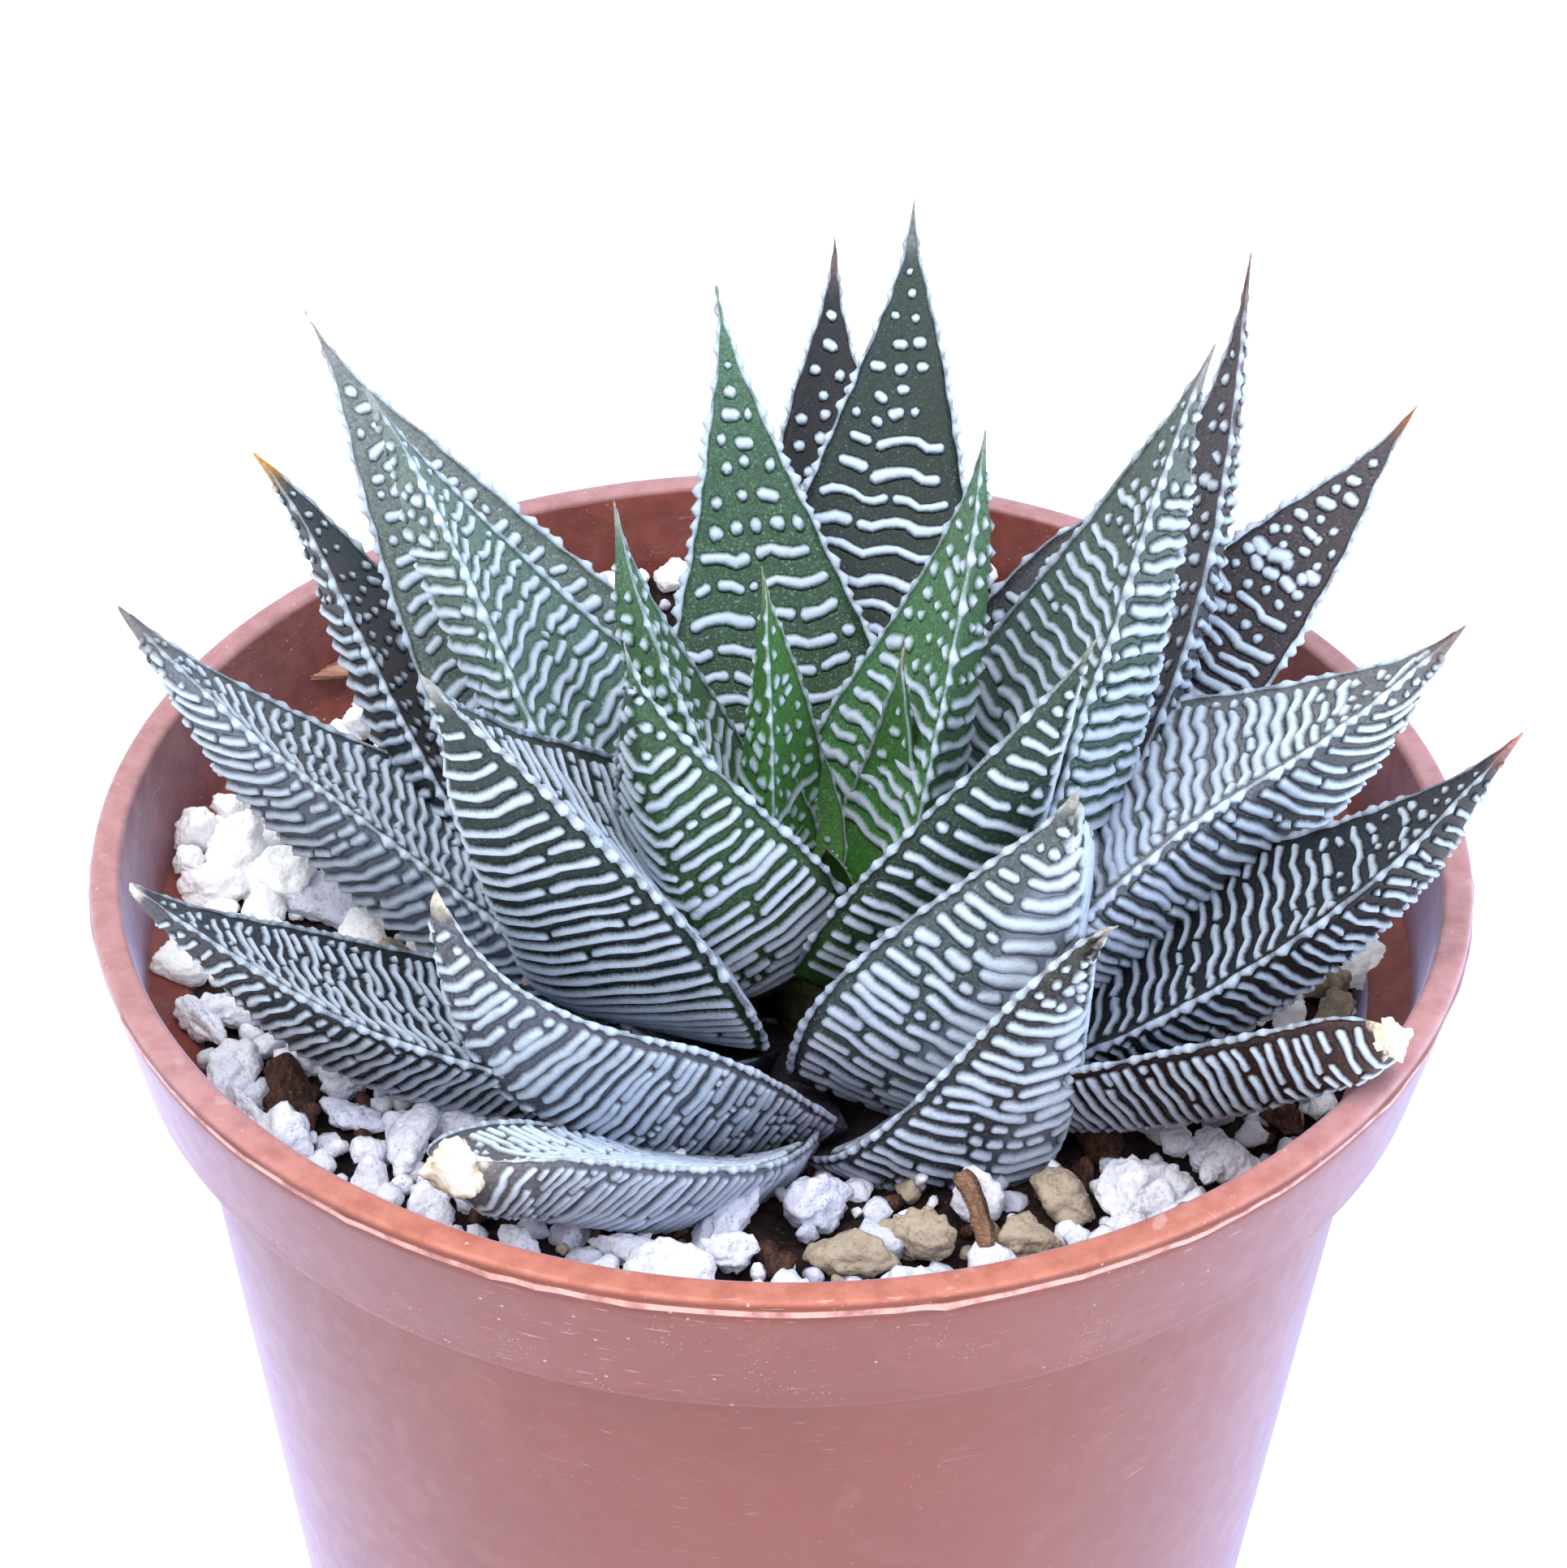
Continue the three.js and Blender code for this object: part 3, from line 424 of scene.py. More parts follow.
def band(soup, leaf, face, t, s, R, H, rr, step=0.8):
    """A raised band with rounded ends on a face, along the points (t, s)."""
    p = leaf.surf(t, s, face)
    d = np.concatenate([[0.0], np.cumsum(np.linalg.norm(np.diff(p, axis=0), axis=1))])
    total = d[-1]
    if total < 1e-4:
        return
    wide, R = R, float(np.mean(R))
    cap = min(R, total / 2)
    ends = cap * (1 - np.cos(CAP))
    grow = np.sin(CAP)
    if total > 2.5 * cap:
        k = max(1, int(round((total - 2 * cap) / step)))
        inner = np.linspace(cap, total - cap, k + 1)[1:-1]
        x = np.concatenate([ends, inner, total - ends[::-1]])
        f = np.concatenate([grow, np.ones(len(inner)), grow[::-1]])
    else:
        x = np.concatenate([ends, total - ends[::-1][1:]])
        f = np.concatenate([grow, grow[::-1][1:]])
    tt, ss = np.interp(x, d, t), np.interp(x, d, s)
    c, n = leaf.surf(tt, ss, face), leaf.normal(tt, ss, face)
    tan = np.gradient(c, axis=0)
    tan /= np.maximum(np.linalg.norm(tan, axis=1, keepdims=True), 1e-9)
    b = np.cross(n, tan)
    b /= np.maximum(np.linalg.norm(b, axis=1, keepdims=True), 1e-9)
    wob = 1 + 0.24 * noise3(c * 1.25, 5) + 0.14 * noise3(c * 2.6, 15) + 0.10 * np.exp(-np.minimum(x, total - x) ** 2 / (0.5 * R * R + 0.05))
    Rx = np.interp(x, d, wide) if np.ndim(wide) else R
    Rf, Hf = (Rx * f * wob)[:, None, None], (H * f * (0.7 + 0.3 * wob))[:, None, None]
    top = c[:, None] + b[:, None] * SECTION_X[None, :, None] * Rf + n[:, None] * (SECTION_Z[None, :, None] * Hf)
    low = c[:, None] - n[:, None] * (0.14 * f + 0.04)[:, None, None]
    ring = np.concatenate([top, low], 1)
    rings, m = ring.shape[0], ring.shape[1]
    mids = np.stack([ring[0].mean(0), ring[-1].mean(0)])
    hh = (SECTION_H[None, :] * f[:, None]).ravel()
    soup.add(np.concatenate([ring.reshape(-1, 3), mids]), ring_quads(rings, m), end_caps(rings, m),
             hh=np.concatenate([hh, [0.1, 0.1]]), tt=np.concatenate([np.repeat(tt, m), [tt[0], tt[-1]]]) / leaf.end,
             ss=np.concatenate([np.repeat(ss, m), [ss[0], ss[-1]]]), rr=rr, ff=float(face > 0))


_ball = {}


def ball(level):
    """Points and triangles of a sphere of radius 1."""
    if level not in _ball:
        bm = bmesh.new()
        bmesh.ops.create_icosphere(bm, subdivisions=level, radius=1.0)
        bm.verts.index_update()
        _ball[level] = (np.array([v.co[:] for v in bm.verts]), np.array([[v.index for v in f.verts] for f in bm.faces]))
        bm.free()
    return _ball[level]


def bead():
    """Points, quads and triangles of a light sphere of radius 1."""
    if "bead" not in _ball:
        a = np.arange(7) / 7 * 2 * np.pi
        rows = [np.stack([math.cos(h) * np.cos(a), math.cos(h) * np.sin(a), np.full(7, math.sin(h))], 1) for h in (-0.85, 0.0, 0.85)]
        v = np.concatenate(rows + [[[0, 0, -1.0]], [[0, 0, 1.0]]])
        _ball["bead"] = (v, ring_quads(3, 7), end_caps(3, 7))
    return _ball["bead"]


def knob(soup, c, axes, r, hh=1.0, tt=0.5, ss=1.0, rr=0.5):
    """A small rounded tubercle: an ellipsoid with radii r along three axes."""
    v, q, f = bead()
    axes = np.asarray(axes)
    if np.dot(np.cross(axes[0], axes[1]), axes[2]) < 0:
        axes = axes * np.array([[1.0], [-1.0], [1.0]])
    soup.add(c + (v * np.asarray(r)) @ axes, q, f, hh=hh, tt=tt, ss=ss, rr=rr)


def margin_line(soup, leaf, side, r, knobs, rng, t0=0.04, t1=0.985):
    """The raised ridge along one edge of the leaf, which swells where the bands of the back end."""
    L = leaf.length
    u = np.arange(t0 * L, t1 * L, 0.28)
    n = len(u)
    t = leaf.t_at(u)
    mid, tan, across, up, w = leaf.frame(t)
    thin = 0.45 + 0.55 * smooth(1 - t / leaf.end, 0.0, 0.3)
    bump = np.zeros(n)
    for place, k in knobs:
        bump += (k * np.exp(-((u - place) / (0.52 * k + 0.10)) ** 2)) ** 3
    bump = bump ** (1 / 3) * thin
    c = mid + side * (w + 0.48 * bump - 0.06)[:, None] * across
    c = c + (0.05 * np.sin(u * 2.1 + rng.uniform(0, 6.28) + 2 * noise3(c * 0.35, 3)))[:, None] * across * side
    c = c + (0.05 * noise3(c * 0.9, 6) - 0.12 * bump)[:, None] * up
    rad = r * (1 + 0.35 * noise3(c * 1.3, 9)) * thin
    out, high = rad + 0.44 * bump, 1.1 * rad + 0.40 * bump
    for x in (out, high):
        x[0] *= 0.3
        x[-1] *= 0.35
    m = 6
    ang = np.arange(m) / m * 2 * np.pi
    ring = c[:, None] + np.cos(ang)[None, :, None] * (out[:, None, None] * across[:, None] * side) + np.sin(ang)[None, :, None] * (high[:, None, None] * up[:, None])
    quads = ring_quads(n, m)
    caps = end_caps(n, m)
    if side < 0:
        quads, caps = quads[:, ::-1], caps[:, ::-1]
    # a middling crest value, so the bands' painted flank shade greys the ridge, less where it swells
    hh = np.repeat(0.44 + 0.34 * np.clip(bump / 0.30, 0, 1), m)
    soup.add(np.concatenate([ring.reshape(-1, 3), ring[0].mean(0)[None], ring[-1].mean(0)[None]]), quads, caps,
             hh=np.concatenate([hh, [0.6, 0.6]]), tt=np.concatenate([np.repeat(t, m), [t[0], t[-1]]]) / leaf.end, ss=float(side), rr=0.5, ff=0.5)


def keel_knob(soup, leaf, s, t, size, rng):
    c = leaf.surf([t], [s], -1)[0]
    n = leaf.normal([t], [s], -1)[0]
    _, tan, across, up, w = leaf.frame([t])
    k = size * rng.uniform(0.75, 1.15) * (0.55 + 0.45 * float(smooth(1 - t / leaf.end, 0.02, 0.35)))
    b = np.cross(n, tan[0])
    b /= np.linalg.norm(b)
    knob(soup, c + n * 0.3 * k, [tan[0], b, n], [k * 0.85, k * 1.1, k * 0.9], tt=t / leaf.end, ss=s, rr=rng.uniform(0, 1))


def face_bands(soup, leaf, face, p, rng, knobs):
    """All bands, dots and edge tubercles of one face of a leaf."""
    L = leaf.length
    s0 = p["s0"]
    lo, hi = p["V"] if isinstance(p["V"], tuple) else (p["V"], p["V"])
    halves = [(-1.0, s0 - 0.03), (s0 + 0.03, 1.0)] if p["split"] else [(-1.0, 1.0)]
    for part, (a, b) in enumerate(halves):
        u = p["t0"] * L - max(0.0, lo, hi, abs(p["sk"])) - 0.5 + 0.4 * part * p["sp"][0]
        phase = rng.uniform(0, 6.28)
        row = 0
        while u < p["t1"] * L + max(0.0, -lo, -hi):
            tc = float(np.clip(u, 0.0, L)) / L
            sp = float(np.interp(tc, [0.0, 0.5, 1.0], p["sp"])) * (1 - 0.14 * float(smooth(tc, 0.5, 1.0)))
            phase += rng.uniform(-0.5, 0.9)
            sig = np.linspace(a, b, 29)
            rel = (sig - s0) / np.where(sig > s0, 1 - s0, 1 + s0)
            off = np.where(rel > 0, hi, lo) * np.abs(rel) ** 1.2 + p["sk"] * sig
            w0 = float(leaf.w_at(leaf.t_at(max(u, 0.0))))
            off = off + p["wave"] * np.sin(sig * w0 * 1.5 + phase) * min(1.0, w0 / 4) + 0.09 * np.sin(sig * w0 * 3.4 + 2.1 * phase)
            uu = u + off
            good = (uu > 0.25) & (uu < p["t1"] * L) & (uu > p["t0"] * L)
            u += sp * rng.uniform(0.86, 1.14)
            row += 1
            if good.sum() < 3:
                continue
            sig, uu = sig[good], uu[good]
            t = leaf.t_at(uu)
            w = leaf.w_at(t)
            if face < 0:
                for side, end in ((-1, 0), (1, -1)):
                    if abs(sig[end] - side) < 0.1 and rng.random() < p["kn"]:
                        knobs[side].append((float(np.interp(t[end], leaf.T, leaf.U)), 1.25 * p["ks"] * rng.uniform(0.65, 1.2)))
            s = sig * np.clip(1 - p["edge"] / np.maximum(w, 0.05), 0.0, 1.0)
            if w.max() < p["edge"] + 0.2:
                continue
            pts = leaf.surf(t, s, face)
            d = np.concatenate([[0.0], np.cumsum(np.linalg.norm(np.diff(pts, axis=0), axis=1))])
            total = d[-1]
            fade = 0.72 + 0.28 * float(smooth(1 - tc, 0.02, 0.35))
            R = p["fat"] * min(p["R"], 0.37 * sp) * fade * rng.uniform(0.86, 1.14)
            H = p["H"] * fade * rng.uniform(0.85, 1.1)
            dots = rng.random() < float(smooth(tc, *p["dot"]))
            parts = []
            if dots:
                n = max(1, int(round(total / (0.88 * p["pitch"]) + rng.uniform(-0.35, 0.35))))
                x = (np.arange(n) + 0.5) / n * total
                if n > 1:
                    x = x + (0.18 if row % 2 else -0.18) * total / n
                R = p["R"] * 0.98 * fade * rng.uniform(0.8, 1.2)
                for xi in x:
                    if rng.random() < p["skip"]:
                        continue
                    h = R * (rng.uniform(1.0, 1.3) if rng.random() < 0.62 else rng.uniform(1.4, 2.3))
                    xi = xi + rng.uniform(-0.25, 0.25)
                    parts.append((max(0.0, xi - h), min(total, xi + h), rng.uniform(-0.3, 0.3)))
            else:
                rate = float(np.interp(tc, [0.0, 0.5, 1.0], p["brk"]))
                cuts = [rng.uniform(0.7, max(0.71, total - 0.7)) for _ in range(rng.poisson(rate * total / 10))]
                if not p["split"] and sig[0] < s0 - 0.1 and sig[-1] > s0 + 0.1 and rng.random() < p["kb"]:
                    cuts.append(float(np.interp(s0 + rng.uniform(-0.12, 0.12), s, d)))
                edges = [0.0]
                for c in sorted(cuts):
                    if c - edges[-1] > 2.4 * R and total - c > 2.0 * R:
                        edges.append(c)
                edges.append(total)
                for k in range(len(edges) - 1):
                    g = rng.uniform(0.05, 0.2)
                    x0 = edges[k] + (g if k else rng.uniform(0, p["jit"]))
                    x1 = edges[k + 1] - (g if k < len(edges) - 2 else rng.uniform(0, p["jit"]))
                    if x1 - x0 > 1.6 * R:
                        parts.append((x0, x1, rng.uniform(-0.16, 0.16) if len(edges) > 2 else 0.0))
                if p["split"] and rng.random() < p["kk"]:
                    end = 0 if part else -1
                    keel_knob(soup, leaf, float(s[end]), float(t[end]), p["ks"] * 0.9, rng)
            for x0, x1, shift in parts:
                if x1 - x0 < 1.2 * R:
                    continue
                x = np.linspace(x0, x1, 14)
                lean = 0.5 * (x - x.mean()) * (rng.uniform(-0.3, 0.3) if dots else 0.0)
                ti = leaf.t_at(np.clip(np.interp(x, d, uu) + shift + lean, 0.2, L - 0.25))
                si = np.interp(x, d, s)
                Rx = R * (1 + (p["wide"] - 1) * smooth(si, s0, s0 + 0.3)) if p["wide"] != 1.0 else R
                band(soup, leaf, face, ti, si, Rx, H, rng.uniform(0, 1))


AD = dict(sp=(1.15, 1.5, 2.0), V=0.0, s0=0.0, sk=0.0, dot=(0.62, 0.86), brk=(0.4, 1.2, 2.8), R=0.36, H=0.33, wave=0.2, split=False,
          t0=0.14, t1=0.95, pitch=1.8, skip=0.06, edge=0.55, jit=0.5, kb=0.1, kk=0.0, kn=0.0, ks=0.0, wide=1.0, fat=0.82)
AB = dict(sp=(0.8, 1.05, 1.4), V=0.0, s0=0.0, sk=0.0, dot=(0.78, 0.93), brk=(0.5, 0.8, 1.8), R=0.34, H=0.38, wave=0.12, split=False,
          t0=0.10, t1=0.95, pitch=1.5, skip=0.04, edge=0.3, jit=0.3, kb=0.35, kk=0.35, kn=0.85, ks=0.3, wide=1.0, fat=0.84)

# What differs from the above, leaf by leaf: upper face, back, half thickness of the edge line.
STYLE = {
    1: (dict(sp=(1.5, 1.75, 2.1), dot=(0.60, 0.78), brk=(0.1, 0.8, 2.8), wave=0.30, R=0.35, jit=0.9), dict(ks=0.3), 0.13),
    2: (dict(sp=(1.5, 1.8, 1.9), dot=(0.46, 0.66), brk=(0.8, 2.2, 3.0), wave=0.25, R=0.39), dict(ks=0.42), 0.13),
    3: (dict(sp=(1.5, 1.75, 2.0), dot=(0.35, 0.6), skip=0.02, pitch=1.8, R=0.38), dict(sp=(1.1, 1.3, 1.6)), 0.12),
    4: (dict(sp=(1.1, 1.4, 1.5), dot=(0.72, 0.92), brk=(0.3, 1.0, 2.2), pitch=1.5), dict(split=True, ks=0.38), 0.13),
    5: (dict(sp=(1.0, 1.2, 1.7), dot=(0.7, 0.92), sk=-0.6, brk=(0.6, 1.5, 2.5)), dict(sp=(0.95, 1.15, 1.5), V=-1.2, split=True, brk=(0.8, 1.4, 2.5), dot=(0.72, 0.92), ks=0.34, H=0.42), 0.14),
    6: (dict(sp=(1.1, 1.5, 1.8), dot=(0.35, 0.6), R=0.33), dict(sp=(0.9, 1.15, 1.5), V=-1.5, split=True, dot=(0.7, 0.92), ks=0.36, H=0.42), 0.15),
    7: (dict(sk=-1.5, sp=(0.75, 0.85, 1.3), brk=(0.3, 0.6, 2.5), dot=(0.7, 0.92), R=0.31), dict(sp=(0.8, 1.1, 1.35), V=-4.0, split=True, brk=(0.4, 0.8, 1.5), dot=(0.88, 0.99), ks=0.36, H=0.42), 0.14),
    8: (dict(sp=(0.75, 0.85, 1.1), brk=(0.6, 1.4, 3.0), dot=(0.8, 0.97), R=0.27), dict(sp=(0.7, 0.85, 1.1), split=True, R=0.29, brk=(0.5, 1.0, 1.5), dot=(0.9, 0.99), ks=0.28, H=0.36), 0.14),
    9: (dict(sp=(0.7, 0.9, 1.1), R=0.3), dict(sp=(0.55, 0.82, 1.05), V=0.9, brk=(6.0, 1.2, 0.6), dot=(0.86, 0.95), wave=0.08, kb=0.7, ks=0.26, H=0.34, t0=0.03, fat=0.97), 0.14),
    10: (dict(sp=(0.7, 0.8, 1.0), R=0.3, brk=(2.0, 2.5, 3.0), dot=(0.8, 0.95)), dict(sp=(0.62, 0.74, 0.9), brk=(0.6, 0.6, 1.6), dot=(0.95, 0.99), ks=0.22, H=0.34, t0=0.03, t1=0.985, fat=1.0), 0.14),
    11: (dict(sp=(1.0, 1.2, 1.6)), dict(sp=(1.0, 1.12, 1.35), brk=(0.1, 0.25, 1.2), dot=(0.84, 0.95), wave=0.14, R=0.34, ks=0.32, kb=0.06, t0=0.05), 0.16),
    12: (dict(dot=(0.35, 0.6)), dict(dot=(0.5, 0.75), sp=(1.1, 1.3, 1.6), ks=0.3), 0.13),
    13: (dict(dot=(0.5, 0.8)), dict(sp=(0.85, 1.05, 1.5), V=0.9, dot=(0.64, 0.82), brk=(1.2, 1.8, 2.5), ks=0.36, t0=0.05), 0.13),
    14: (dict(dot=(0.1, 0.4), R=0.3, H=0.24), dict(dot=(0.3, 0.6), R=0.3, H=0.24, sp=(1.1, 1.3, 1.6), ks=0.24), 0.11),
    15: (dict(dot=(0.1, 0.4), R=0.28, H=0.22), dict(dot=(0.3, 0.6), R=0.28, H=0.22, sp=(1.0, 1.2, 1.6), ks=0.22), 0.10),
    16: (dict(dot=(0.1, 0.2), R=0.2, H=0.16, skip=0.3), dict(dot=(0.1, 0.2), R=0.2, H=0.16, skip=0.3, ks=0.14), 0.08),
    17: (dict(dot=(0.1, 0.4), R=0.3, H=0.24), dict(dot=(0.3, 0.6), R=0.3, H=0.24, sp=(1.1, 1.3, 1.6), ks=0.24), 0.11),
    18: (dict(dot=(0.3, 0.6)), dict(dot=(0.4, 0.7), sp=(1.1, 1.35, 1.6), ks=0.34), 0.13),
    19: (dict(dot=(0.5, 0.8)), dict(sp=(0.95, 1.25, 1.5), V=(0.3, 2.5), s0=-0.1, dot=(0.8, 0.93), brk=(0.5, 0.8, 1.8), ks=0.3, t0=0.05), 0.14),
    20: (dict(dot=(0.6, 0.85)), dict(sp=(0.85, 1.0, 1.25), V=(0.0, 5.0), s0=-0.55, brk=(0.6, 1.6, 3.0), dot=(0.93, 0.99), R=0.35, H=0.36, ks=0.3, wide=1.35, t0=0.04, fat=0.9, kb=0.6), 0.15),
    21: (dict(dot=(0.6, 0.85)), dict(sp=(0.75, 0.92, 1.2), V=(0.3, 4.5), s0=-0.5, brk=(1.2, 2.2, 3.0), dot=(0.62, 0.82), R=0.34, H=0.34, ks=0.28, pitch=1.2, wide=1.25, t0=0.03, fat=0.92), 0.14),
    22: (dict(sp=(1.1, 1.35, 1.7), dot=(0.62, 0.85), brk=(0.3, 0.9, 2.2)), dict(sp=(0.95, 1.2, 1.5), split=True, dot=(0.75, 0.93), brk=(0.4, 0.7, 1.8), ks=0.39, H=0.46, R=0.38, kk=0.8), 0.14),
    23: (dict(dot=(0.4, 0.65)), dict(sp=(1.0, 1.25, 1.5), split=True, ks=0.38, kk=0.7, H=0.42), 0.13),
    24: (dict(sp=(1.0, 1.2, 1.4), dot=(0.55, 0.80), brk=(0.8, 1.6, 2.6), R=0.38, pitch=1.5), dict(ks=0.36), 0.13),
    25: (dict(sk=1.5, sp=(0.85, 0.95, 1.3), dot=(0.72, 0.92), brk=(0.3, 0.7, 2.2), R=0.33, fat=0.98), dict(sp=(0.8, 1.05, 1.35), V=-5.0, split=True, brk=(0.3, 0.5, 1.5), dot=(0.9, 0.99), ks=0.42, H=0.45, kk=0.8), 0.13),
    26: (dict(sp=(0.9, 1.05, 1.3), dot=(0.6, 0.85), R=0.28, brk=(0.8, 1.6, 2.6)), dict(sp=(0.75, 0.95, 1.2), split=True, brk=(0.5, 1.0, 2.0), dot=(0.8, 0.95), ks=0.36, H=0.38, kk=0.8, R=0.27), 0.13),
    27: (dict(sp=(0.75, 0.85, 1.0), R=0.3), dict(sp=(0.7, 0.85, 1.0), brk=(0.6, 0.7, 1.0), dot=(0.97, 0.99), ks=0.3, H=0.36, R=0.29, t1=0.985), 0.14),
    28: (dict(dot=(0.6, 0.85)), dict(sp=(1.0, 1.25, 1.5), ks=0.38), 0.13),
}

# How each leaf's ground looks on screen at the base, in the middle and near the tip, its tip's
# colour and how far that reaches.
# The ground colours also hold painted shade: they are darkened for the shadow in the valleys between the bands.
PAINT = {
    1: ((20, 32, 32), (16, 32, 30), (56, 80, 74), (150, 160, 160), 0.05),
    2: ((56, 112, 38), (34, 72, 42), (98, 144, 120), (156, 168, 162), 0.04),
    3: ((8, 10, 18), (8, 12, 22), (36, 40, 52), (122, 106, 112), 0.05),
    4: ((44, 58, 54), (98, 122, 112), (146, 156, 156), (168, 168, 170), 0.05),
    5: ((66, 118, 62), (104, 148, 128), (140, 162, 158), (182, 188, 192), 0.05),
    6: ((26, 28, 38), (46, 54, 64), (78, 88, 96), (238, 178, 88), 0.035),
    7: ((48, 56, 66), (122, 138, 154), (142, 150, 162), (140, 136, 142), 0.05),
    8: ((18, 20, 30), (30, 36, 46), (88, 94, 104), (244, 240, 230), 0.014),
    9: ((76, 54, 72), (84, 92, 110), (134, 138, 150), (232, 226, 208), 0.02),
    10: ((86, 84, 98), (140, 146, 164), (156, 154, 160), (244, 240, 226), 0.008),
    11: ((38, 76, 28), (26, 46, 42), (78, 94, 96), (200, 202, 200), 0.04),
    12: ((70, 140, 46), (74, 130, 74), (104, 146, 114), (178, 186, 178), 0.05),
    13: ((78, 68, 64), (56, 96, 56), (86, 122, 94), (196, 202, 198), 0.04),
    14: ((84, 156, 50), (80, 150, 64), (92, 146, 84), (160, 178, 140), 0.07),
    15: ((88, 162, 56), (84, 152, 68), (96, 146, 90), (168, 182, 150), 0.07),
    16: ((92, 160, 60), (90, 152, 72), (98, 148, 86), (160, 170, 120), 0.10),
    17: ((88, 160, 50), (84, 152, 66), (102, 148, 94), (190, 190, 166), 0.07),
    18: ((80, 158, 44), (82, 140, 82), (118, 160, 130), (160, 172, 160), 0.05),
    19: ((62, 112, 36), (40, 66, 54), (78, 106, 94), (190, 192, 188), 0.05),
    20: ((74, 62, 70), (80, 102, 104), (116, 126, 130), (206, 206, 200), 0.05),
    21: ((74, 54, 70), (70, 78, 92), (112, 110, 100), (236, 230, 214), 0.04),
    22: ((66, 124, 42), (82, 116, 102), (118, 128, 126), (172, 166, 170), 0.05),
    23: ((34, 40, 48), (72, 76, 86), (106, 98, 104), (132, 100, 96), 0.05),
    24: ((18, 16, 24), (40, 34, 44), (96, 88, 94), (184, 112, 66), 0.03),
    25: ((62, 86, 78), (92, 104, 114), (130, 132, 136), (152, 132, 128), 0.05),
    26: ((4, 6, 14), (4, 8, 18), (50, 52, 60), (206, 142, 132), 0.035),
    27: ((6, 2, 8), (8, 2, 10), (70, 42, 40), (240, 228, 196), 0.008),
    28: ((22, 24, 32), (50, 54, 62), (82, 82, 90), (150, 140, 140), 0.05),
}
# the same for the upper face, where it differs
PAINT_UP = {
    7: ((60, 70, 78), (84, 98, 104), (126, 136, 144)),
    10: ((60, 60, 70), (104, 110, 122), (138, 138, 140)),
    25: ((90, 104, 108), (160, 172, 182), (146, 146, 148)),
    26: ((6, 8, 16), (14, 20, 28), (76, 78, 82)),
}
# how bright the bands are, where it isn't 0.80: partly painted light and shade, with each leaf's bands lifted or dimmed
# to how lit that leaf looks
BRIGHT = {1: 0.86, 10: 1.05, 9: 0.92, 21: 0.98, 25: 0.97, 24: 0.90, 26: 0.66, 27: 0.70, 6: 0.84, 3: 0.94, 18: 0.88, 4: 0.84, 5: 0.86, 22: 0.84, 8: 0.74}
# a painted reflection: a pale bluish wash of the white floor and backdrop on one part of the back: from this s to that
# s, and how much
PAINTED_REFLECTION = {20: (-0.66, -0.42, 0.8), 21: (-0.55, -0.30, 0.6), 9: (0.0, 0.6, 0.35), 10: (-0.6, 0.4, 0.8), 7: (-0.1, 0.8, 0.3)}


ENDS = {10: 0.925, 27: 0.965}
# where a leaf starts to narrow towards its tip, and by how much
PINCH = {9: (0.60, 0.60), 8: (0.65, 0.50), 7: (0.72, 0.50), 6: (0.70, 0.45), 5: (0.75, 0.45), 11: (0.72, 0.45)}


def tone(c, k=0.62):
    """A surface colour that looks like the screen colour c under the studio light."""
    return tuple(k * x for x in lin(*c)[:3]) + (1.0,)


